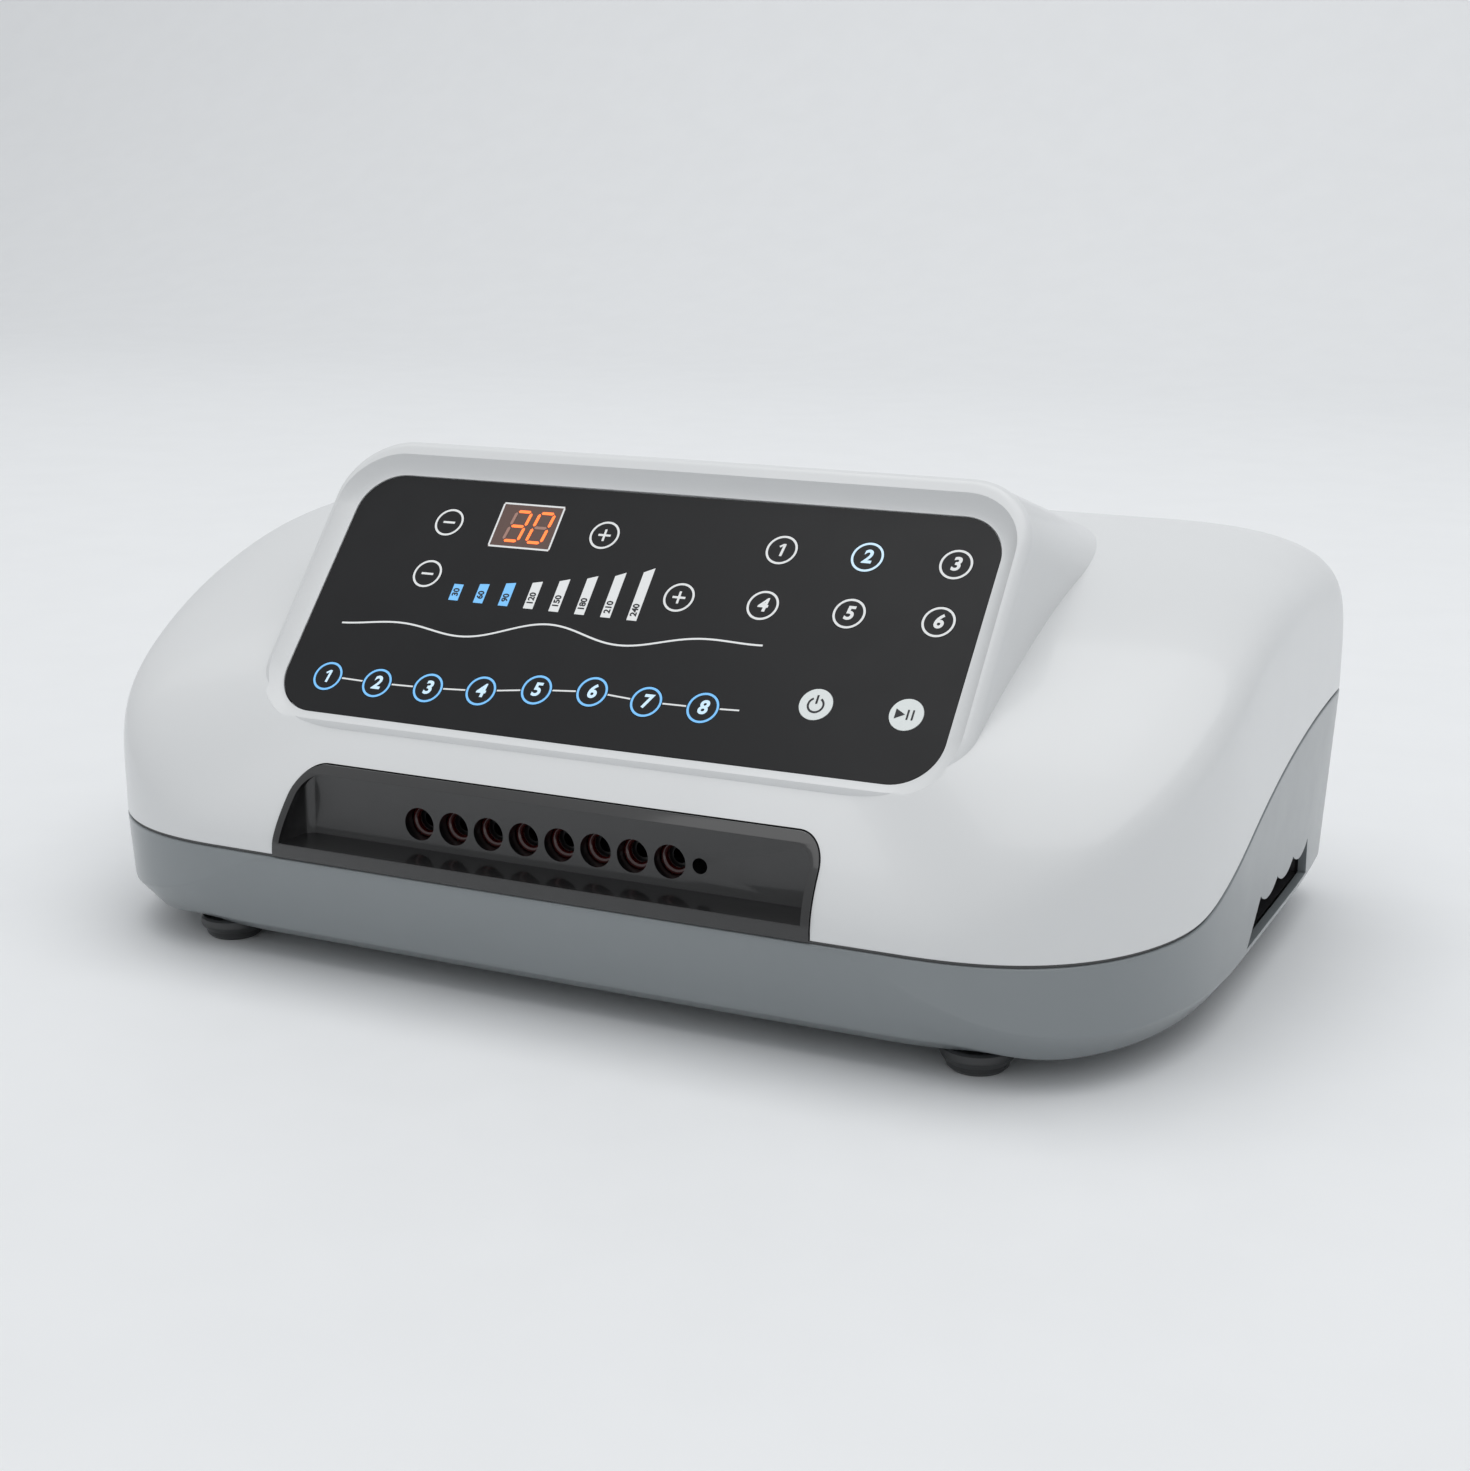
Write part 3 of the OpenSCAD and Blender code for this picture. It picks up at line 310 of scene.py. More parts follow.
def moulded(name, colour, rough, wander=0.05, grain_mm=0.6, grain_depth=0.01, coat=0.0,
            vary=0.03, stretch=(1, 1, 1), gloss=0.5):
    """Plastic or rubber: the colour wanders slowly by the share vary and the roughness by
    wander, over a mould texture of grain_mm blobs that are grain_depth mm deep."""
    mat, tree, bsdf, place = shader(name)
    hue = tint(tree, noise(tree, place, 45, 2), shade(colour, 1 - vary), shade(colour, 1 + vary))
    finish = spread(tree, noise(tree, place, 14), rough - wander, rough + wander)
    tree.links.new(hue, bsdf.inputs["Base Color"])
    tree.links.new(finish, bsdf.inputs["Roughness"])
    relief(tree, noise(tree, place, grain_mm, 2, stretch), grain_depth, bsdf)
    bsdf.inputs["Coat Weight"].default_value = coat
    bsdf.inputs["Coat Roughness"].default_value = 0.08
    bsdf.inputs["Specular IOR Level"].default_value = gloss
    return mat


WHITE = moulded("white_case_abs", (0.715, 0.725, 0.73), 0.3, 0.02, 0.5, 0.0012,
                coat=0.25, vary=0.004)
GREY = moulded("grey_base_abs", (0.225, 0.247, 0.258), 0.3, 0.02, 0.5, 0.0012,
               coat=0.4, vary=0.012)
SHEET = moulded("printed_panel_sheet", (0.006, 0.006, 0.007), 0.34, 0.03, 0.5, 0.004,
                vary=0.05, gloss=0.32)
BLACK = moulded("black_recess_abs", (0.003, 0.003, 0.0034), 0.36, 0.03, 0.8, 0.002,
                coat=0.9, vary=0.06)
SATIN = moulded("satin_black_abs", (0.022, 0.022, 0.024), 0.45, 0.05, 0.6, 0.02, vary=0.06)
DARK = moulded("dark_plastic", (0.03, 0.03, 0.033), 0.5, 0.05, 0.8, 0.02, vary=0.06)
RUBBER = moulded("foot_rubber", (0.02, 0.021, 0.022), 0.3, 0.04, 0.4, 0.003,
                 vary=0.1, gloss=0.9)
# The seals' red is darkened well below a plain red rubber: partly the seal's own dark red, partly
# painted shade of the deep port holes.
RED = moulded("red_seal_rubber_with_painted_shade", (0.045, 0.002, 0.0015), 0.14, 0.03, 0.5, 0.003,
              vary=0.08, gloss=0.8)
NATURAL = moulded("natural_plastic", (0.62, 0.61, 0.56), 0.45, 0.05, 0.7, 0.02)
CHIP = moulded("component_black", (0.02, 0.02, 0.022), 0.5, 0.06, 0.3, 0.02, vary=0.1)
COIL = moulded("valve_coil_blue", (0.045, 0.085, 0.26), 0.4, 0.05, 0.7, 0.015)
CABLE = moulded("flat_cable_grey", (0.24, 0.24, 0.26), 0.5, 0.05, 1.27, 0.12, stretch=(1, 40, 40))
print("plastics and rubbers:", [m.name for m in bpy.data.materials])

# %% [markdown]
# ## Metals, board and window
#
# Steel shows fine lines along its drawn direction, copper wire shows its turns, and a
# circuit board shows lighter tracks under its green lacquer. The window over the digits
# is smoked red plastic: it lets a little light through and stays glossy.

# %% Metals, board, window and light
def metal(name, colour, rough, stretch=(30, 1, 1), lines_mm=0.4, depth=0.006):
    """Metal with drawn lines: noise pulled out along one axis moves both gloss and relief."""
    mat, tree, bsdf, place = shader(name)
    lines = noise(tree, place, lines_mm, 3, stretch)
    hue = tint(tree, noise(tree, place, 20), shade(colour, 0.93), shade(colour, 1.05))
    tree.links.new(hue, bsdf.inputs["Base Color"])
    tree.links.new(spread(tree, lines, rough - 0.08, rough + 0.1), bsdf.inputs["Roughness"])
    relief(tree, lines, depth, bsdf)
    bsdf.inputs["Metallic"].default_value = 1.0
    return mat


def board():
    """Green lacquer with straight, lighter tracks: two sets of bands meet in a grid."""
    mat, tree, bsdf, place = shader("circuit_board")
    tracks = tree.nodes.new("ShaderNodeTexBrick")
    tracks.inputs["Scale"].default_value = 120
    tracks.inputs["Mortar Size"].default_value = 0.012
    tree.links.new(place, tracks.inputs["Vector"])
    hue = tint(tree, tracks.outputs["Fac"], (0.016, 0.10, 0.045), (0.05, 0.22, 0.10))
    tree.links.new(hue, bsdf.inputs["Base Color"])
    tree.links.new(spread(tree, noise(tree, place, 6), 0.3, 0.42), bsdf.inputs["Roughness"])
    relief(tree, tracks.outputs["Fac"], 0.03, bsdf)
    return mat


def clear_rubber(name, colour, through, rough):
    """Rubber or plastic that lets light through, with a slightly uneven surface."""
    mat = moulded(name, colour, rough, 0.04, 1.5, 0.01)
    bsdf = mat.node_tree.nodes["Principled BSDF"]
    bsdf.inputs["Transmission Weight"].default_value = through
    bsdf.inputs["IOR"].default_value = 1.45
    return mat


def printed(name, colour, glow=0.0):
    """Ink or a lit field: a faintly uneven film that may glow in its own colour. The glow on white
    ink and on unlit segments, which are no lamps, is painted light.
    """
    mat = moulded(name, colour, 0.45, 0.05, 0.25, 0.004, vary=0.02)
    bsdf = mat.node_tree.nodes["Principled BSDF"]
    bsdf.inputs["Emission Color"].default_value = (*colour, 1)
    bsdf.inputs["Emission Strength"].default_value = glow
    return mat


STEEL = metal("plated_steel", (0.58, 0.59, 0.61), 0.3)
ZINC = metal("zinc_sheet", (0.45, 0.46, 0.47), 0.4, (1, 20, 1), 0.8)
COPPER = metal("enamelled_wire", (0.62, 0.27, 0.12), 0.34, (1, 30, 30), 0.5, 0.12)
BOARD = board()
HOSE = clear_rubber("clear_hose_rubber", (0.74, 0.78, 0.80), 0.6, 0.25)
# The white ink carries a weak painted glow: it is print, and no lamp.
INK = printed("white_ink_with_painted_glow", (0.78, 0.79, 0.79), 0.12)
BLUE = printed("lit_blue_ink", (0.17, 0.47, 0.83), 0.35)
PALE = printed("lit_pale_ink", (0.60, 0.80, 0.95), 0.25)
NIGHT = printed("black_ink", (0.012, 0.013, 0.016))
print("metals and inks are ready;", len(bpy.data.materials), "materials so far")

# %% [markdown]
# ## The case's curves
#
# Seen from above, the case has a nearly straight front, two wide front corners that
# follow a squarish ellipse, straight sides and small rear corners. The seam between the
# halves is level in front and climbs along the sides. The roof is two slopes joined by a
# soft crown. Both halves read these three curves, so they meet everywhere.

# %% Seam, roof and plan outline
def seam(y):
    """Seam height: SEAM_Z plus SEAM_RISE * (1 - (1 - t)^SEAM_POWER), with t the share of the
    climb reached at depth y; the climb starts softly over about SEAM_SOFT mm."""
    u = y - SEAM_START
    t = np.minimum((u + np.sqrt(u * u + SEAM_SOFT ** 2)) / 2 / (SEAM_END - SEAM_START), 1)
    return SEAM_Z + SEAM_RISE * (1 - (1 - t) ** SEAM_POWER)


def roof(y):
    """Roof height: two straight slopes that meet at ROOF_MEET_Y in a hyperbola CROWN wide."""
    u = y - ROOF_MEET_Y
    mean, skew = (FALL_FRONT + FALL_REAR) / 2, (FALL_REAR - FALL_FRONT) / 2
    return DOME_Z - mean * np.sqrt(u * u + CROWN ** 2) - skew * u


def half_outline(inset, fine=1.0):
    """Right half of the plan, front middle to rear middle, as x, y and facing (0 in front,
    1 on the side). The front corner is |x/a|^p + |y/b|^p = 1 with p = CORNER_POWER."""
    w, f, r = HALF_W - inset, FRONT_Y + BOW + inset, REAR_Y - BOW - inset
    cx, cy, rr, e = CORNER_X - inset, CORNER_Y - inset, REAR_R - inset, 2 / CORNER_POWER
    n_front, n_corner, n_side, n_rear = (int(n * fine) for n in OUTLINE_STEPS)
    t = np.arange(n_front) / n_front
    front = np.stack([(w - cx) * t, f - BOW * (1 - t * t), 0 * t], -1)
    a = np.linspace(0, np.pi / 2, n_corner + 1)
    s, c = np.sin(a), np.maximum(np.cos(a), 0)
    nx, ny = s ** (2 - e) / cx, c ** (2 - e) / cy
    corner = np.stack([w - cx + cx * s ** e, f + cy - cy * c ** e, nx / np.hypot(nx, ny)], -1)
    k = np.arange(1, n_side + 1) / n_side
    side = np.stack([w + 0 * k, f + cy + (r - rr - f - cy) * k, 1 + 0 * k], -1)
    a = np.linspace(0, np.pi / 2, n_rear + 1)[1:]
    rear = np.stack([w - rr + rr * np.cos(a), r - rr + rr * np.sin(a), 1 + 0 * a], -1)
    t = 1 - np.arange(1, n_front + 1) / n_front
    back = np.stack([(w - rr) * t, r + BOW * (1 - t * t), 1 + 0 * t], -1)
    return np.vstack([front, corner, side, rear, back])


def ease(value, low, high):
    """A smooth step from 0 to 1: t^2 * (3 - 2 t), with t the share of the way low to high."""
    t = np.clip((value - low) / (high - low), 0, 1)
    return t * t * (3 - 2 * t)


def ring(half):
    """Whole ring from its right half: the left half is the mirror image, run backwards."""
    left = half[-2:0:-1].copy()
    left[:, 0] *= -1
    return np.vstack([half, left])


print("seam from", round(float(seam(FRONT_Y)), 1), "to", round(float(seam(REAR_Y)), 1), "mm")

# %% [markdown]
# ## The dome
#
# The white cover could be sculpted or subdivided from a box, but the reflections on a
# glossy shell show every bump. Here each ring of the dome is the plan outline drawn in,
# and its height follows a rounded power curve: gentle in front, steep at the sides. The
# blend between the two follows which way the wall faces.

# %% Rings of the dome
def dome_ring(inset, d, fine=1.0, lip=0.0):
    """Ring at share d of the outline. Height: seam + (roof - seam) * (1 - d^p)^(1/q), where
    p, q go from DOME_FRONT by way of DOME_SIDE to DOME_REAR as the wall turns."""
    h = half_outline(inset, fine)
    w, t = h[:, 2] ** FACING_POWER, ease(h[:, 1], -40, 100)
    p, q = (front + (side + (rear - side) * t - front) * w
            for front, side, rear in zip(DOME_FRONT, DOME_SIDE, DOME_REAR))
    y = h[:, 1] * d + DOME_MIDDLE * (1 - d)
    low = seam(h[:, 1]) + SEAM_GAP / 2
    rise = np.maximum(1 - d ** p, 0) ** (1 / q)
    return ring(np.stack([h[:, 0] * d, y, low + lip + (roof(y) - inset - low) * rise], -1))


def dome(name, inset, count, fine=1.0):
    """The closed dome: rings crowd towards the wall, where the skin bends most. The outer
    skin starts with a rounded lip, and a hollow starts 4 mm lower, to cut clean through."""
    share = np.sin(np.pi / 2 * (1 - np.arange(count - 1) / count)) ** 0.6
    rings = [dome_ring(inset, d, fine) for d in share]
    if inset == 0:
        lip = [dome_ring(LIP * (1 - math.sin(a)), 1.0, fine, LIP * (1 - math.cos(a)))
               for a in np.radians([0, 30, 60])]
        rings = lip + rings[1:]
    else:
        rings.insert(0, rings[0] - [0, 0, 4])
    return loft(name, rings)


cover = dome("cover_skin", 0, 84)
print("the dome's skin has", len(cover.data.vertices), "points")

# %% [markdown]
# ## The raised head
#
# The head carries the key panel. In the panel's own frame (u across, v up the slope, h
# off the face) its sides are drafted planes with rounded corners, and a rounded ridge
# runs round the panel. It is lofted in that frame and then turned into place. Joined to
# the dome, its side facets leave the crisp valley that the real case shows.

# %% Panel frame, head and the flared pocket
def on_panel(points):
    """Points u, v, h on the sloping panel turned into the object's frame."""
    u, v, h = np.moveaxis(np.asarray(points, float), -1, 0)
    c, s = math.cos(PANEL_TILT), math.sin(PANEL_TILT)
    return np.stack([u, PANEL_Y + v * c - h * s, PANEL_Z + v * s + h * c], -1)


def head_half(w, v0, v1, r0, r1):
    """Right half of a rounded rectangle: w half wide, v0 to v1 high, with a slight bow."""
    a, b = np.linspace(0, np.pi / 2, 20), np.linspace(0, np.pi / 2, 28)
    return np.vstack([[[0, v0 - BOW / 2, 0]],
                      np.stack([w - r0 + r0 * np.sin(a), v0 + r0 - r0 * np.cos(a), 0 * a], -1),
                      np.stack([w - r1 + r1 * np.cos(b), v1 - r1 + r1 * np.sin(b), 0 * b], -1),
                      [[0, v1 + BOW / 2, 0]]])


def lift(v):
    """Height of the ridge above the panel: RIDGE_LOW at the foot, full RIDGE_RUN up."""
    return RIDGE_LOW + (FRAME_LIFT - RIDGE_LOW) * np.clip((v + FRAME_LOW) / RIDGE_RUN, 0, 1)


def head_level(depth, inset):
    """The head's outline at a depth below the panel; its draft makes it wider with depth."""
    hw, hr = PANEL_W / 2 + FRAME_SIDE, PANEL_R + FRAME_SIDE
    p = ring(head_half(hw - inset + depth * HEAD_DRAFT, -FRAME_LOW + inset,
                       PANEL_L + FRAME_TOP - inset + depth * HEAD_ROOF_DRAFT,
                       hr - inset, hr - inset + depth * HEAD_DRAFT))
    return p - [0, 0, depth]


def head_end(inset):
    """The head's lower end, a slanted cut HEAD_CUT deep at the front, deeper up the slope."""
    low, high = head_level(HEAD_DEEP, inset), head_level(0, inset)
    t = (HEAD_CUT + HEAD_CUT_SLOPE * (low[:, 1:2] + FRAME_LOW)) / HEAD_DEEP
    return high + (low - high) * np.minimum(t, 1)


def head(name):
    """The solid head: from its slanted end up to a ridge that is a quarter circle outside."""
    rings = [head_end(0)]
    for a in np.linspace(0, np.pi / 2, 12):
        p = head_level(0, RIDGE_R * (1 - math.cos(a)))
        p[:, 2] = lift(p[:, 1]) - RIDGE_R * (1 - math.sin(a))
        rings.append(p)
    return loft(name, [on_panel(r) for r in rings])


def panel_plate(name, grow, low, high):
    """A flat plate with the panel's rounded outline, grown on all sides."""
    p = ring(head_half(PANEL_W / 2 + grow, -grow, PANEL_L + grow, PANEL_R + grow, PANEL_R + grow))
    return loft(name, [on_panel(p + [0, 0, h]) for h in (low, high)])


def flare(name):
    """The funnel from the panel's edge to the ridge: out by FLARE_OUT * s while up by
    FLARE_UP * s^FLARE_POWER, s from 0 to 1. Then, for the dome that stands higher than the
    ridge at the lower corners, one more ring goes on at 45 degrees."""
    rings = []
    for s in [*np.linspace(0, 1, 12), 2]:
        out, r = FLARE_OUT * s, PANEL_R + FLARE_OUT * s
        p = ring(head_half(PANEL_W / 2 + SLACK + out, -SLACK - FLARE_LOW * s,
                           PANEL_L + SLACK + out, r, r))
        up = FLARE_UP * min(s, 1) ** FLARE_POWER * lift(p[:, 1]) / FRAME_LIFT
        p[:, 2] = 0.2 + up + FLARE_OUT * max(s - 1, 0)
        rings.append(on_panel(p))
    return loft(name, rings)


def hollow_head(name):
    """The hollow under the head, WALL inside it and 3 mm below the panel."""
    rings = [head_end(WALL), head_level(3, WALL)]
    return loft(name, [on_panel(r) for r in rings])


carve(cover, head("head"), "UNION")
print("with its head the cover has", len(cover.data.vertices), "points")

# %% [markdown]
# ## Windows in the cover
#
# The panel lies in a shallow pocket with a flared rim, and the port housing fills a
# window in the front. The window's outline is a flat arch with rounded shoulders. The
# inside is hollow, as the real shell is.

# %% Cut the cover's pocket, window and hollow
HOUSING_HW, HOUSING_TOP, HOUSING_R, HOUSING_X = 87.2, 62.8, 9.0, -2.0
HOUSING_LEAN, HOUSING_BACK = 1.0, -88


def housing_outline(grow, low=SEAM_Z - 3, steps=20):
    """The arch in front view, from a height upwards: sides that lean in by HOUSING_LEAN to
    shoulders of radius HOUSING_R."""
    w, top, r = HOUSING_HW + grow, HOUSING_TOP + grow, HOUSING_R + grow
    a = np.linspace(0, np.pi / 2, steps)
    right = np.stack([w - HOUSING_LEAN - r + r * np.cos(a), top - r + r * np.sin(a)], -1)
    left = right[::-1] * [-1, 1]
    knee = max(SEAM_Z + 2, low + 0.5)
    return np.vstack([[[-w, low], [w, low], [w, knee]], right, left, [[-w, knee]]]) + [HOUSING_X, 0]


hollow = carve(dome("cover_hollow", WALL, 30, 0.5), hollow_head("head_hollow"), "UNION")
carve(cover, hollow)
carve(cover, panel_plate("sheet_pocket", SLACK, -0.8, 0.3))
carve(cover, panel_plate("ledge_hole", -4, -4, 0.1))
carve(cover, flare("flare"))
carve(cover, prism("housing_window", housing_outline(SLACK), FRONT_Y - 4, HOUSING_BACK, "y"))
smooth(cover, 24)
paint(cover, WHITE)
ride(cover, "housing", ["upper_cover"])
print("the finished cover has", len(cover.data.polygons), "faces")

# %% [markdown]
# ## The grey base
#
# The lower half tucks in below a crease that runs round it and climbs to the seam in
# mid front. Each point of the outline carries the same small section: underside edge,
# crease, seam. Soft corners come from a quadratic curve near each of these points. Between
# the front corners the underside's edge is lifted, which the flat CAD base leaves out.

# %% Rings of the base
BASE_Z, CHINE_Z, TUCK, REAR_TUCK = 7.0, 16.0, 7.6, 12.0
CHINE_TUCK, CHINE_REAR_TUCK, UNDER_IN = 1, 4, 7
CREASE_X, CREASE_RUN, CREASE_RISE = 165, 70, 21
BELLY_X, BELLY_RUN, FRONT_RISE = 158, 34, 4.6


def crease(x, y):
    """Crease height: CHINE_Z at the sides, climbing with the square of the way to mid front
    until it is 2 mm under the seam."""
    t = np.clip((CREASE_X - np.abs(x)) / CREASE_RUN, 0, 1)
    return np.where(y > 0, CHINE_Z, np.minimum(CHINE_Z + CREASE_RISE * t * t, seam(y) - 2))


def belly(x, y):
    """How far the underside's front edge stands above BASE_Z: FRONT_RISE between the corners,
    fading out from 96 to 36 mm in front of the middle."""
    rise = FRONT_RISE * ease(BELLY_X - np.abs(x), 0, BELLY_RUN)
    return np.where(y < 0, rise * np.clip((-y - 36) / 60, 0, 1), 0)


def base_ring(inset, tuck, rear, z=None, extra=0.0):
    """The outline scaled in by the tuck, more towards the rear, at a height or on the crease.
    A ring with something extra lies inside the underside and stays flat."""
    h = half_outline(inset)
    back = np.clip((h[:, 1] - 40) / 70, 0, 1)
    pull = tuck + (rear - tuck) * back * back + extra
    sx = (HALF_W - inset - pull) / (HALF_W - inset)
    sy = (BODY_D / 2 - inset - pull) / (BODY_D / 2 - inset)
    rise = belly(h[:, 0], h[:, 1]) * (extra == 0)
    high = crease(h[:, 0], h[:, 1]) + inset / 2 if z is None else z + rise
    return ring(np.stack([h[:, 0] * sx, h[:, 1] * sy, high], -1))


def bend(before, corner, after, reach, steps):
    """Points of a quadratic curve round each corner point, starting and ending reach away."""
    def toward(p):
        """The point on the way from the corner to p, at most 0.45 of the way."""
        way = p - corner
        size = np.linalg.norm(way, axis=1, keepdims=True)
        return corner + way * np.minimum(reach / np.maximum(size, 1e-6), 0.45)
    a, b = toward(before), toward(after)
    return [(1 - t) ** 2 * a + 2 * t * (1 - t) * corner + t * t * b for t in np.linspace(0, 1, steps)]


def seam_ring(inset, dz):
    """The outline at the seam, dz above its middle."""
    h = half_outline(inset)
    return ring(np.stack([h[:, 0], h[:, 1], seam(h[:, 1]) + dz], -1))


def base(name):
    """The solid base: underside, rounded edge, rounded crease, wall and rounded lip."""
    under, edge = (base_ring(0, TUCK, REAR_TUCK, BASE_Z, extra) for extra in (UNDER_IN, 0))
    mid, top = base_ring(0, CHINE_TUCK, CHINE_REAR_TUCK), seam_ring(0, -SEAM_GAP / 2)
    rings = [under] + bend(under, edge, mid, 1.4, 6) + bend(edge, mid, top, 0.8, 5)
    for a in np.radians([20, 45, 70, 90]):
        rings.append(seam_ring(LIP * (1 - math.cos(a)), -SEAM_GAP / 2 - LIP * (1 - math.sin(a))))
    return loft(name, rings)


def base_hollow(name):
    """The hollow of the base, WALL inside it, carried 6 mm above the seam."""
    return loft(name, [base_ring(WALL, TUCK, REAR_TUCK, BASE_Z + WALL),
                       base_ring(WALL, CHINE_TUCK, CHINE_REAR_TUCK), seam_ring(WALL, 6)])


lower = base("base_skin")
carve(lower, base_hollow("base_hollow"))
print("the base's shell has", len(lower.data.vertices), "points")

# %% [markdown]
# ## Openings in the base
#
# On each side a hand grip doubles as an air intake; its upper edge is scalloped. At the
# rear a window takes the mains panel, and four screw holes show underneath.

# %% Cut the grips, the rear window and the screw holes
GRIP_Y0, GRIP_Y1, GRIP_Z0, GRIP_Z1 = -14.0, 65.0, 17.5, 29.6
GRIP_SLANT, SCALLOP, DROP = 13.0, 21.3, 3.2
POSTS, POST_R, HOLE_R, SINK_R, SCREW_L = [(156, -48), (152, 84)], 5.0, 1.7, 3.6, 12
INLET_X, INLET_Z, WINDOW_W, WINDOW_H = 104.0, 43.0, 88.0, 34.0


def grip_outline(steps=14):
    """The grip's edge in side view: flat below, a slanted front end, and above it three
    circular arcs, each SCALLOP wide, that sag by DROP."""
    lobe = SCALLOP / 2
    r = (lobe ** 2 + DROP ** 2) / (2 * DROP)
    reach = math.asin(lobe / r)
    a = np.linspace(reach, -reach, steps)
    start, z = GRIP_Y0 + GRIP_SLANT, GRIP_Z1 - DROP + r - r * np.cos(a)
    arcs = [np.stack([start + lobe + k * SCALLOP + r * np.sin(a), z], -1)[:-1] for k in (2, 1, 0)]
    return np.vstack([[[GRIP_Y0, GRIP_Z0], [GRIP_Y1, GRIP_Z0]], *arcs, [[start, GRIP_Z1]]])


for side in (-1, 1):
    xs = sorted((side * (HALF_W - 8), side * (HALF_W + 8)))
    carve(lower, prism("grip_cut", grip_outline(), *xs, "x"))
window = [(INLET_X + a * WINDOW_W / 2, INLET_Z + b * WINDOW_H / 2)
          for a, b in ((-1, -1), (1, -1), (1, 1), (-1, 1))]
carve(lower, prism("rear_window", window, REAR_Y - 14, REAR_Y + 6, "y"))
spots = [(s * x, y, float(seam(y)) + 1.5) for x, y in POSTS for s in (-1, 1)]
posts = [turned("post", [(POST_R, BASE_Z + 0.5), (POST_R, z)], (x, y, 0), 40) for x, y, z in spots]
carve(lower, joined("posts", posts), "UNION")
bores = [turned("bore", [(SINK_R, BASE_Z), (SINK_R, z - SCREW_L), (HOLE_R, z - SCREW_L),
                         (HOLE_R, z + 1)], (x, y, 0), 32) for x, y, z in spots]
carve(lower, joined("bores", bores))
smooth(lower, 26)
paint(lower, GREY)
ride(lower, "housing", ["lower_case"])
print("the finished base has", len(lower.data.polygons), "faces")

# %% [markdown]
# ## The gasket in the seam and its painted shadow
#
# A thin dark gasket closes the seam. It is the same ring as the halves, set back a
# little, so that the seam reads as a fine shadow line; its dark rubber partly paints that
# shadow.

# %% Seam gasket, dark as a painted shadow line
SET_BACK = 0.7    # mm
outer = [seam_ring(SET_BACK, -SEAM_GAP / 2), seam_ring(SET_BACK, SEAM_GAP / 2)]
inner = [seam_ring(WALL - 0.3, SEAM_GAP / 2), seam_ring(WALL - 0.3, -SEAM_GAP / 2)]
band = np.asarray(outer + inner)
gasket = outward(make("seam_gasket_painted_shadow_skin", band, grid_faces(4, band.shape[1], wrap_m=True)))
smooth(gasket, 40)
# The gasket's dark rubber also paints the seam's shadow line.
paint(gasket, RUBBER)
ride(gasket, "housing", ["seam_gasket"])
print("the gasket runs round", band.shape[1], "points")

# %% [markdown]
# ## Rounded copies of machined or moulded nodes
#
# A CAD edge is perfectly sharp, and a real one never is: it catches a thin highlight.
# The Bevel modifier in soften gives a merged copy of the node that edge. The copy stands
# for the node, which stays hidden for the physics.

# %% Rounding helper and the rounded pieces
def rounded(node, width_mm, material, body="housing", segments=3):
    """A merged copy of a CAD node with its sharp edges rounded to a width."""
    piece = make(node + "_rounded", np.zeros((0, 3)), [])
    bm = bmesh.new()
    bm.from_mesh(nodes[node].data)
    bmesh.ops.remove_doubles(bm, verts=bm.verts, dist=2e-6)
    bmesh.ops.dissolve_limit(bm, angle_limit=math.radians(0.4), verts=bm.verts, edges=bm.edges)
    bm.to_mesh(piece.data)
    bm.free()
    return ride(paint(soften(piece, width_mm, segments), material), body, [node])


seals = rounded("port_rings", 1.0, RED, segments=5)
drawer = rounded("fuse_drawer", 0.5, SATIN)
inlet = rounded("mains_inlet", 0.6, SATIN)
rocker = rounded("switch_rocker", 0.5, SATIN, body="rocker")
plate = rounded("rear_panel", 0.4, SATIN)
print("rounded:", [p.name for p in (seals, drawer, inlet, rocker, plate)])

# %% [markdown]
# ## The port housing
#
# The housing is a gloss black moulding: an arch that follows the dome's front, with a
# recess inside an even rim and a wall of ports at its back. It is cut from a prism with
# exact booleans and softened, so that its rim catches a thin line of light. Its sides
# stand a little more upright than the CAD model's.

# %% Carve the housing
PORT_WALL, PORT_BACK, RECESS_Z, RIM, PROUD = FRONT_Y + 13.9, FRONT_Y + 17.9, 41.6, 2.5, 0.6
PORT_PITCH, PORT_Z, PORT_R, LOCATING_R = 11.8, 49.1, 4.95, 2.3
PORT_X = [-45.9 + PORT_PITCH * k for k in range(8)]
LOCATING_X = PORT_X[-1] + 9.4
RECESS_SIDE = [(85.2, FRONT_Y - 4), (83.4, PORT_WALL - 2), (82.8, PORT_WALL - 1),
               (81.6, PORT_WALL - 0.2), (80, PORT_WALL + 0.5)]


def front_profile():
    """Depth and height of the dome's middle: from the seam back to the wall of ports."""
    last = (PORT_BACK - DOME_MIDDLE) / (FRONT_Y - DOME_MIDDLE)
    d = 1 - (1 - last) * (np.arange(25) / 24) ** 2
    y, low = FRONT_Y * d + DOME_MIDDLE * (1 - d), SEAM_Z + SEAM_GAP / 2
    z = low + (roof(y) - low) * (1 - d ** DOME_FRONT[0]) ** (1 / DOME_FRONT[1])
    foot = low + 0.1
    keep = z > foot
    face = np.stack([np.maximum(y[keep] - PROUD, FRONT_Y), z[keep]], -1)
    return np.vstack([[[FRONT_Y, foot]], face, [[PORT_BACK, foot]]])


def recess_plan():
    """The recess seen from above: it narrows from the front to a rounded foot at the wall."""
    return ([(HOUSING_X + x, y) for x, y in RECESS_SIDE]
            + [(HOUSING_X - x, y) for x, y in RECESS_SIDE[::-1]])


def port_hole(x, r, steps):
    """A hole through the wall of ports."""
    return turned("hole", [(r, PORT_WALL - 2), (r, PORT_BACK + 1)], (x, 0, PORT_Z), steps, "y")


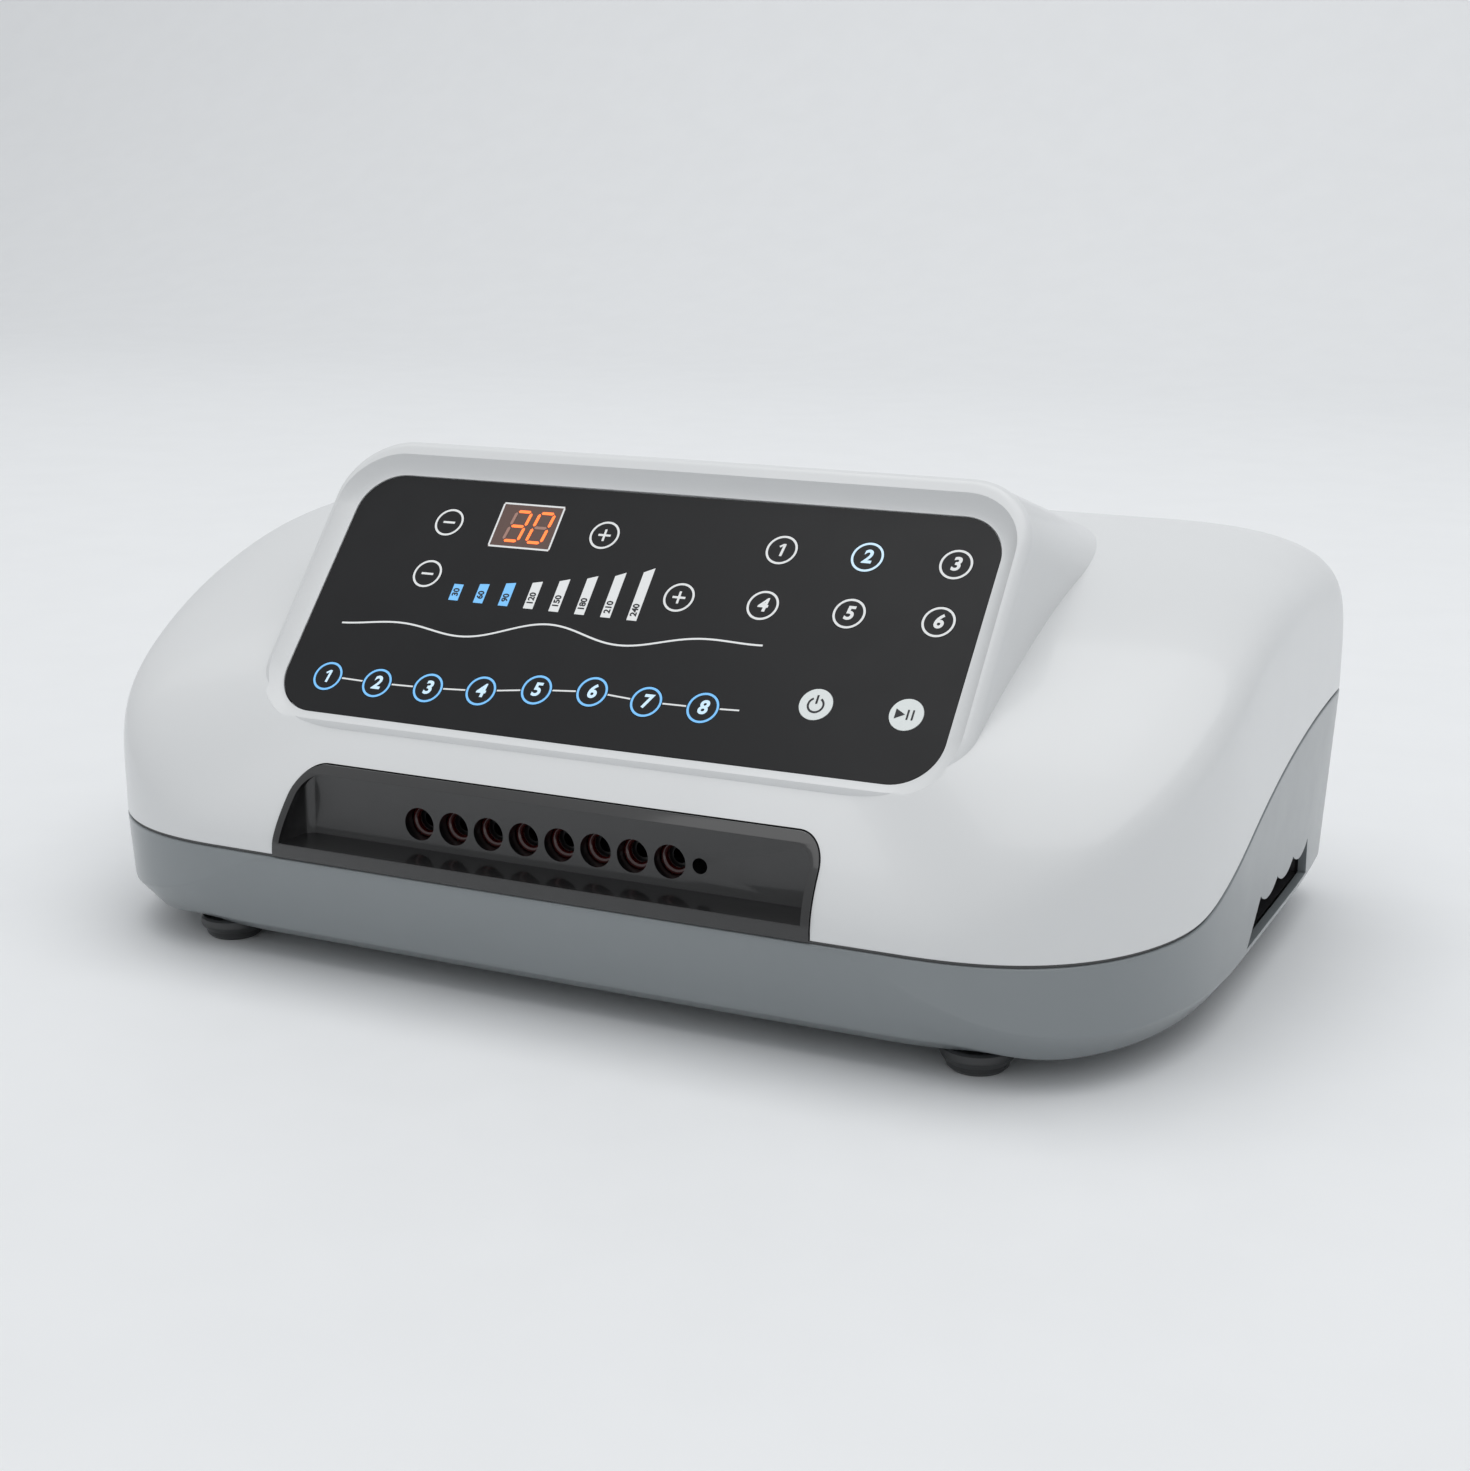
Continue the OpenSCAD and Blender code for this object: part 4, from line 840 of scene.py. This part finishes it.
hood = prism("port_housing_skin", housing_outline(0), FRONT_Y - 4, PORT_BACK, "y")
carve(hood, prism("face", front_profile(), -110, 110, "x"), "INTERSECT")
hollow = prism("recess", housing_outline(-RIM, RECESS_Z), FRONT_Y - 5, PORT_WALL, "y")
carve(hood, carve(hollow, prism("plan", recess_plan(), RECESS_Z - 1, 72), "INTERSECT"))
holes = [port_hole(x, PORT_R, 48) for x in PORT_X] + [port_hole(LOCATING_X, LOCATING_R, 32)]
carve(hood, joined("holes", holes))
paint(soften(hood, 0.8, 4), BLACK)
ride(hood, "housing", ["port_housing"])
print("the housing has", len(hood.data.polygons), "faces")

# %% [markdown]
# ## Materials for the CAD nodes that stay
#
# The other nodes keep their CAD shape. Each gets the finish that its real counterpart
# has; the hidden ones too, because the model is also looked at in section.

# %% Dress the remaining nodes
FINISH = {
    "nozzle_bar": BLACK, "panel_sheet": SHEET, "key_carrier": DARK,
    "display_module": NATURAL, "key_board": BOARD, "dome_switches": STEEL,
    "carrier_screws": STEEL, "feet": RUBBER, "foot_screws": STEEL, "case_screws": STEEL,
    "grip_left": SATIN, "grip_right": SATIN, "inlet_pins": STEEL, "switch_body": SATIN,
    "valve_rail": NATURAL, "valve_coils": COIL, "port_hoses": HOSE, "pump_frame": ZINC,
    "pump_mounts": RUBBER, "pump_coils": COPPER, "pump_armature": STEEL,
    "pump_head_left": DARK, "pump_head_right": DARK, "pump_link": HOSE,
    "supply_hose": HOSE, "main_board": BOARD, "board_parts": CHIP, "pressure_sensor": NATURAL,
    "transformer": ZINC, "ribbon_cable": CABLE,
}


for node, material in FINISH.items():
    paint(nodes[node], material)
WINDOW = clear_rubber("smoked_window", (0.17, 0.105, 0.09), 0.2, 0.16)
KEY_WHITE = moulded("white_key_film", (0.78, 0.82, 0.81), 0.38, 0.04, 0.4, 0.004)
paint(nodes["display_window"], WINDOW)
KEY_NODES = [n for n in nodes if n.startswith("key_") and n not in ("key_board", "key_carrier")]
for node in KEY_NODES:
    paint(nodes[node], KEY_WHITE if node in ("key_power", "key_start") else SHEET)
print(len(FINISH), "nodes and", len(KEY_NODES), "keys are dressed")

# %% [markdown]
# ## Printing on the panel
#
# The print is a film of ink a few hundredths of a millimetre thick. An image could carry
# it, but a film cut to shape stays crisp at any distance. Strips are a flat section
# carried along a path, plates are outlines with a thickness, and numerals come from
# Blender's own plain font.

# %% Strips, plates and numerals on the panel
INK_T = 0.05    # thickness of the ink
LEAN = 0.12     # sideways lean of figures, as a share of their height
BOLDER = 0.03   # how much the font's strokes are thickened, as a share of its size


def strip(path, width, closed=False):
    """A flat strip of ink: at each path point the section's corners lie half a width to
    either side, square to the path, at the ink's two heights."""
    p = np.asarray(path, float)
    way = np.roll(p, -1, 0) - np.roll(p, 1, 0) if closed else np.gradient(p, axis=0)
    side = np.stack([-way[:, 1], way[:, 0]], -1)
    side *= width / 2 / np.linalg.norm(side, axis=1, keepdims=True)
    n = len(p)
    section = [np.c_[p + s * side, np.full(n, h)]
               for s, h in ((1, 0), (1, INK_T), (-1, INK_T), (-1, 0))]
    points = on_panel(np.stack(section, 1))
    faces = grid_faces(n, 4, wrap_m=True) if closed else capped_faces(n, 4)
    return outward(make("strip", points, faces))


def circle(u, v, r, steps=48):
    """Points of a circle on the panel."""
    a = np.linspace(0, 2 * np.pi, steps, endpoint=False)
    return np.stack([u + r * np.cos(a), v + r * np.sin(a)], -1)


def inked_plate(outline, low=0.0):
    """An outline of (u, v) points with the thickness of the ink."""
    points = on_panel(slab(outline, low, low + INK_T))
    return outward(make("plate", points, capped_faces(2, len(outline))))


def numeral(text, u, v, size, low=0.0, lean=LEAN, turn=0.0):
    """Plain numerals centred on (u, v): the font's flat outlines, given the ink's thickness,
    leaned by a shear and turned on the panel."""
    curve = bpy.data.curves.new("numeral", "FONT")
    curve.body, curve.size, curve.extrude = text, size, INK_T / 2
    curve.align_x, curve.align_y, curve.shear = "CENTER", "CENTER", lean
    curve.offset, curve.resolution_u = size * BOLDER, 4
    holder = link("numeral", curve)
    mesh = evaluated(holder)
    bpy.data.objects.remove(holder)
    co = np.zeros(len(mesh.vertices) * 3)
    mesh.vertices.foreach_get("co", co)
    x, y, z = co.reshape(-1, 3).T
    c, s = math.cos(turn), math.sin(turn)
    flat = np.stack([u + x * c - y * s, v + x * s + y * c, low + INK_T / 2 + z], -1)
    mesh.vertices.foreach_set("co", (on_panel(flat) * MM).ravel())
    return link("numeral", mesh)


def print_piece(name, bits, material, body="housing"):
    """Several bits of one ink as one piece that rides on a body."""
    return ride(paint(smooth(joined(name, bits)), material), body)


sample = strip(circle(0, 0, 5), 0.5, closed=True)
print("a ring of ink takes", len(sample.data.polygons), "faces")
bpy.data.objects.remove(sample)

# %% [markdown]
# ## Key legends
#
# Every key carries a thin ring with a sign in it: minus and plus for time and pressure,
# plain numbers for the modes and the chambers, and the usual signs on the two white
# keys. Each legend rides on its own key, so it goes down with the key.

# %% Legends on the keys
ROW_TOP, ROW_MID, ROW_LOW = 71.0, 51.8, 21.7
CELL_U, CELL_PITCH, CELL_V = -92.9, 18.17, [12.4, 12, 12.4, 13.5, 16, 17.5, 16.3, 16.5]
CELLS = [(CELL_U + CELL_PITCH * k, v) for k, v in enumerate(CELL_V)]
SIGNS = {"time_down": (-72.8, ROW_TOP), "pressure_down": (-73, ROW_MID),
         "time_up": (-17.3, ROW_TOP), "pressure_up": (14.6, ROW_MID)}
MODE_U, MODE_V = (41.8, 68.9, 96), (ROW_TOP, ROW_MID)
MODES = {"mode_" + "abcdef"[k]: (MODE_U[k % 3], MODE_V[k // 3], str(k + 1)) for k in range(6)}
RING_R, RING_W, FIGURE, SIGN_R, SIGN_W = 4.6, 0.7, 6.2, 2.1, 0.72
POWER_U, POWER_R, POWER_W = 67.8, 2.3, 0.62
START_U, START_R, PAUSE_W = 91.6, 1.6, 0.55


def key_ring(u, v):
    """The thin ring round a key's sign."""
    return strip(circle(u, v, RING_R), RING_W, closed=True)


def bar(u0, v0, u1, v1, width):
    """A straight stroke of ink between two points."""
    return strip(np.linspace((u0, v0), (u1, v1), 3), width)


def key_number(text, u, v):
    """A numeral for a key. The font's 1 is a bare stroke, so a 1 is drawn as stem and flag."""
    if text != "1":
        return [numeral(text, u, v, FIGURE)]
    return [bar(u + 0.1, v - 2.1, u + 0.6, v + 2.15, 0.8),
            bar(u + 0.3, v + 1.9, u - 0.9, v + 1.05, 0.62)]


for key, (u, v) in SIGNS.items():
    bits = [key_ring(u, v), bar(u - SIGN_R, v, u + SIGN_R, v, SIGN_W)]
    if key.endswith("up"):
        bits += [bar(u, v - SIGN_R, u, v - SIGN_W / 2, SIGN_W),
                 bar(u, v + SIGN_W / 2, u, v + SIGN_R, SIGN_W)]
    print_piece(f"key_{key}_legend", bits, INK, f"key_{key}_body")
for key, (u, v, sign) in MODES.items():
    bits = [key_ring(u, v), *key_number(sign, u, v)]
    print_piece(f"key_{key}_legend", bits, PALE if key == "mode_b" else INK, f"key_{key}_body")
for k, (u, v) in enumerate(CELLS, 1):
    print_piece(f"key_cell_{k}_ring", [key_ring(u, v)], BLUE, f"key_cell_{k}_body")
    print_piece(f"key_cell_{k}_number", key_number(str(k), u, v), PALE, f"key_cell_{k}_body")
arc = np.radians(np.linspace(120, 420, 40))
path = np.stack([POWER_U + POWER_R * np.cos(arc), ROW_LOW - 0.2 + POWER_R * np.sin(arc)], -1)
bits = [strip(path, POWER_W), bar(POWER_U, ROW_LOW + 0.2, POWER_U, ROW_LOW + 3, POWER_W)]
print_piece("key_power_legend", bits, NIGHT, "key_power_body")
foot, top = ROW_LOW - START_R, ROW_LOW + START_R
bits = [inked_plate([(START_U, top), (START_U, foot), (START_U + 2.9, ROW_LOW)])]
bits += [bar(START_U + du, foot, START_U + du, top, PAUSE_W) for du in (3.7, 5.2)]
print_piece("key_start_legend", bits, NIGHT, "key_start_body")
print("legends on", len(SIGNS) + len(MODES) + len(CELLS) + 2, "keys")

# %% [markdown]
# ## The pressure scale, the chain and the wave
#
# Eight bars grow from left to right and carry plain numbers; the first three are lit. A
# thin line links the chamber keys, and an even wave of the same weight runs above them.

# %% Bars, chain and wave
BAR_U = [-60.3 + 8.9 * k for k in range(8)]
BAR_TOP = [49.1, 50, 51.2, 52.4, 54, 55.9, 57.8, 60.1]
BAR_LOW, BAR_HALF, BAR_STEP, BARS_LIT, BAR_FIGURE = 43.3, 1.65, 30, 3, 2.9
LINK_GAP, LINK_W, CHAIN_END = 5.3, 0.5, (45.6, 17.0)
WAVE_U, WAVE_LONG, WAVE_V, WAVE_CLIMB, WAVE_H, WAVE_W = -96, 142, 31.5, 7.1, 3.2, 0.6
blue_bars, white_bars, numbers = [], [], []
for k, (u, top) in enumerate(zip(BAR_U, BAR_TOP)):
    low, slant, is_lit = BAR_LOW - 0.12 * k, 0.25 * k, k < BARS_LIT
    outline = [(u - BAR_HALF, low), (u + BAR_HALF, low),
               (u + BAR_HALF, top + slant / 2), (u - BAR_HALF, top - slant / 2)]
    (blue_bars if is_lit else white_bars).append(inked_plate(outline))
    numbers.append(numeral(str(BAR_STEP * (k + 1)), u + 0.05, low + (2.9 if is_lit else 3.6),
                           BAR_FIGURE, INK_T, 0.0, math.pi / 2))
print_piece("scale_bars_lit", blue_bars, BLUE)
print_piece("scale_bars", white_bars, INK)
print_piece("scale_numbers", numbers, NIGHT)


def chain():
    """Straight links from the rim of one chamber key to the next, and a tail at the end."""
    links = []
    for a, b in zip(CELLS, CELLS[1:] + [CHAIN_END]):
        a, b = np.array(a), np.array(b)
        way = (b - a) / np.linalg.norm(b - a)
        end = b - way * LINK_GAP if tuple(b) in CELLS else b
        links.append(bar(*(a + way * LINK_GAP), *end, LINK_W))
    return links


def wave():
    """Five half turns of a sine that swell and fade, on a line that climbs a little: height
    WAVE_V + WAVE_CLIMB * t + WAVE_H * sin(5 pi t) * sin(pi t), with t from 0 to 1."""
    t = np.linspace(0, 1, 160)
    swell = WAVE_H * np.sin(5 * np.pi * t) * np.sin(np.pi * t)
    path = np.stack([WAVE_U + WAVE_LONG * t, WAVE_V + WAVE_CLIMB * t + swell], -1)
    return strip(path, WAVE_W)


print_piece("chamber_lines", [*chain(), wave()], INK)
print("the scale has", len(BAR_U), "bars")

# %% [markdown]
# ## The display
#
# Two seven-segment digits glow behind the smoked window, in a thin pale frame. Each
# segment is a bar with pointed ends, leaned like the real digits; unlit ones show faintly,
# with a weak painted glow.

# %% Digits and frame of the display
LIT = printed("lit_segment", (0.98, 0.17, 0.035), 1.15)
# Unlit segments keep a weak painted glow, though they give no light.
DIM = printed("unlit_segment_painted_glow", (0.36, 0.20, 0.16), 0.12)
SEGMENTS = {"a": (0, 2, "h"), "b": (1, 1.5, "v"), "c": (1, 0.5, "v"), "d": (0, 0, "h"),
            "e": (0, 0.5, "v"), "f": (0, 1.5, "v"), "g": (0, 1, "h")}
DIGITS = {"3": "abcdg", "0": "abcdef"}
DIGIT_W, DIGIT_H, DIGIT_PITCH, SEG, SEG_GAP = 5.2, 5.4, 8.2, 1.0, 0.35
DISPLAY_U, DISPLAY_V, DISPLAY_W, DISPLAY_L, EDGE_W = -56.0, 63.6, 22.0, 16.4, 0.6


def segment(u0, v0, col, row, way):
    """A hexagon along one side of the digit, sheared by LEAN so that the digit leans."""
    half = (DIGIT_W if way == "h" else DIGIT_H) / 2 - SEG_GAP
    tip = SEG / 2
    flat = np.array([(-half, 0), (-half + tip, -tip), (half - tip, -tip),
                     (half, 0), (half - tip, tip), (-half + tip, tip)])
    if way == "v":
        flat = flat[:, ::-1] * [-1, 1]
    centre = np.array([col * DIGIT_W + (DIGIT_W / 2 if way == "h" else 0), row * DIGIT_H])
    p = flat + centre
    return inked_plate(np.stack([u0 + p[:, 0] + LEAN * p[:, 1], v0 + p[:, 1]], -1), INK_T)


lit_bits, dim_bits = [], []
for k, digit in enumerate("30"):
    for name, (col, row, way) in SEGMENTS.items():
        target = lit_bits if name in DIGITS[digit] else dim_bits
        target.append(segment(DISPLAY_U + 4.6 + k * DIGIT_PITCH, DISPLAY_V + 2.6, col, row, way))
print_piece("digits_lit", lit_bits, LIT)
print_piece("digits_unlit", dim_bits, DIM)
e = EDGE_W / 2
u0, u1 = DISPLAY_U + e, DISPLAY_U + DISPLAY_W - e
v0, v1 = DISPLAY_V + e, DISPLAY_V + DISPLAY_L - e
edges = [bar(u0, v, u1, v, EDGE_W) for v in (v0, v1)]
edges += [bar(u, v0 + e, u, v1 - e, EDGE_W) for u in (u0, u1)]
print_piece("display_rim", edges, INK)
print("display with", len(lit_bits), "lit segments")

# %% [markdown]
# ## Floor, light and camera
#
# A plain pale floor runs back and sweeps up into a backdrop. The light is a pale sky and
# two large soft lamps, as in a daylit studio. The camera stands where the photograph was
# taken from: to the right of the front, a little above the pump.

# %% Floor and backdrop
BACKDROP_Y, BACKDROP_R = 1.6, 1.2    # metres, as the whole studio is


def backdrop():
    """A floor that turns up behind the object: a straight run, a quarter circle of radius
    BACKDROP_R from BACKDROP_Y on, and a wall."""
    a = np.radians(np.linspace(0, 90, 24))
    y = np.r_[-3.0, -1.0, BACKDROP_Y + BACKDROP_R * np.sin(a), BACKDROP_Y + BACKDROP_R]
    z = np.r_[0.0, 0.0, BACKDROP_R - BACKDROP_R * np.cos(a), 4.5]
    x = np.linspace(-5, 5, 12)
    points = np.stack(np.broadcast_arrays(x[None, :], y[:, None], z[:, None]), -1) / MM
    return make("backdrop", points, grid_faces(len(y), len(x), wrap_n=False))


floor = smooth(backdrop())
paint(floor, moulded("pale_floor", (0.85, 0.86, 0.87), 0.6, 0.05, 3, 0.01, vary=0.006))
print("the backdrop has", len(floor.data.polygons), "faces")

# %% Light and camera
CAMERA_PLACE, CAMERA_DOWN, CAMERA_TURN = (0.318057, -0.641092, 0.244197), 14.616, 25.789
SENSOR_W, LENS = 36, 56.19
scene = bpy.context.scene
scene.view_settings.view_transform = "Standard"
world = bpy.data.worlds.new("pale_sky")
world.use_nodes = True
sky = world.node_tree.nodes["Background"]
sky.inputs["Color"].default_value = (0.96, 0.98, 1.0, 1)
sky.inputs["Strength"].default_value = 0.62
scene.world = world


def softbox(name, place, aim, size, watts):
    """A square white lamp at a place, turned to face a point."""
    lamp = bpy.data.lights.new(name, "AREA")
    lamp.shape, lamp.size, lamp.energy = "SQUARE", size, watts
    holder = link(name, lamp)
    holder.location = place
    holder.rotation_euler = (Vector(aim) - Vector(place)).to_track_quat("-Z", "Y").to_euler()


softbox("ceiling", (0.25, 0.0, 2.0), (0, 0, 0), 2.4, 19)
softbox("wall_wash", (-1.2, 1.0, 2.4), (-1.3, 2.7, 0.7), 2.6, 10)
camera = link("camera", bpy.data.cameras.new("camera"))
camera.location = CAMERA_PLACE
camera.rotation_euler = (math.radians(90 - CAMERA_DOWN), 0, math.radians(CAMERA_TURN))
camera.data.sensor_width, camera.data.lens = SENSOR_W, LENS
camera.data.clip_start = 0.01
scene.camera = camera
print("camera", [round(c, 3) for c in camera.location])
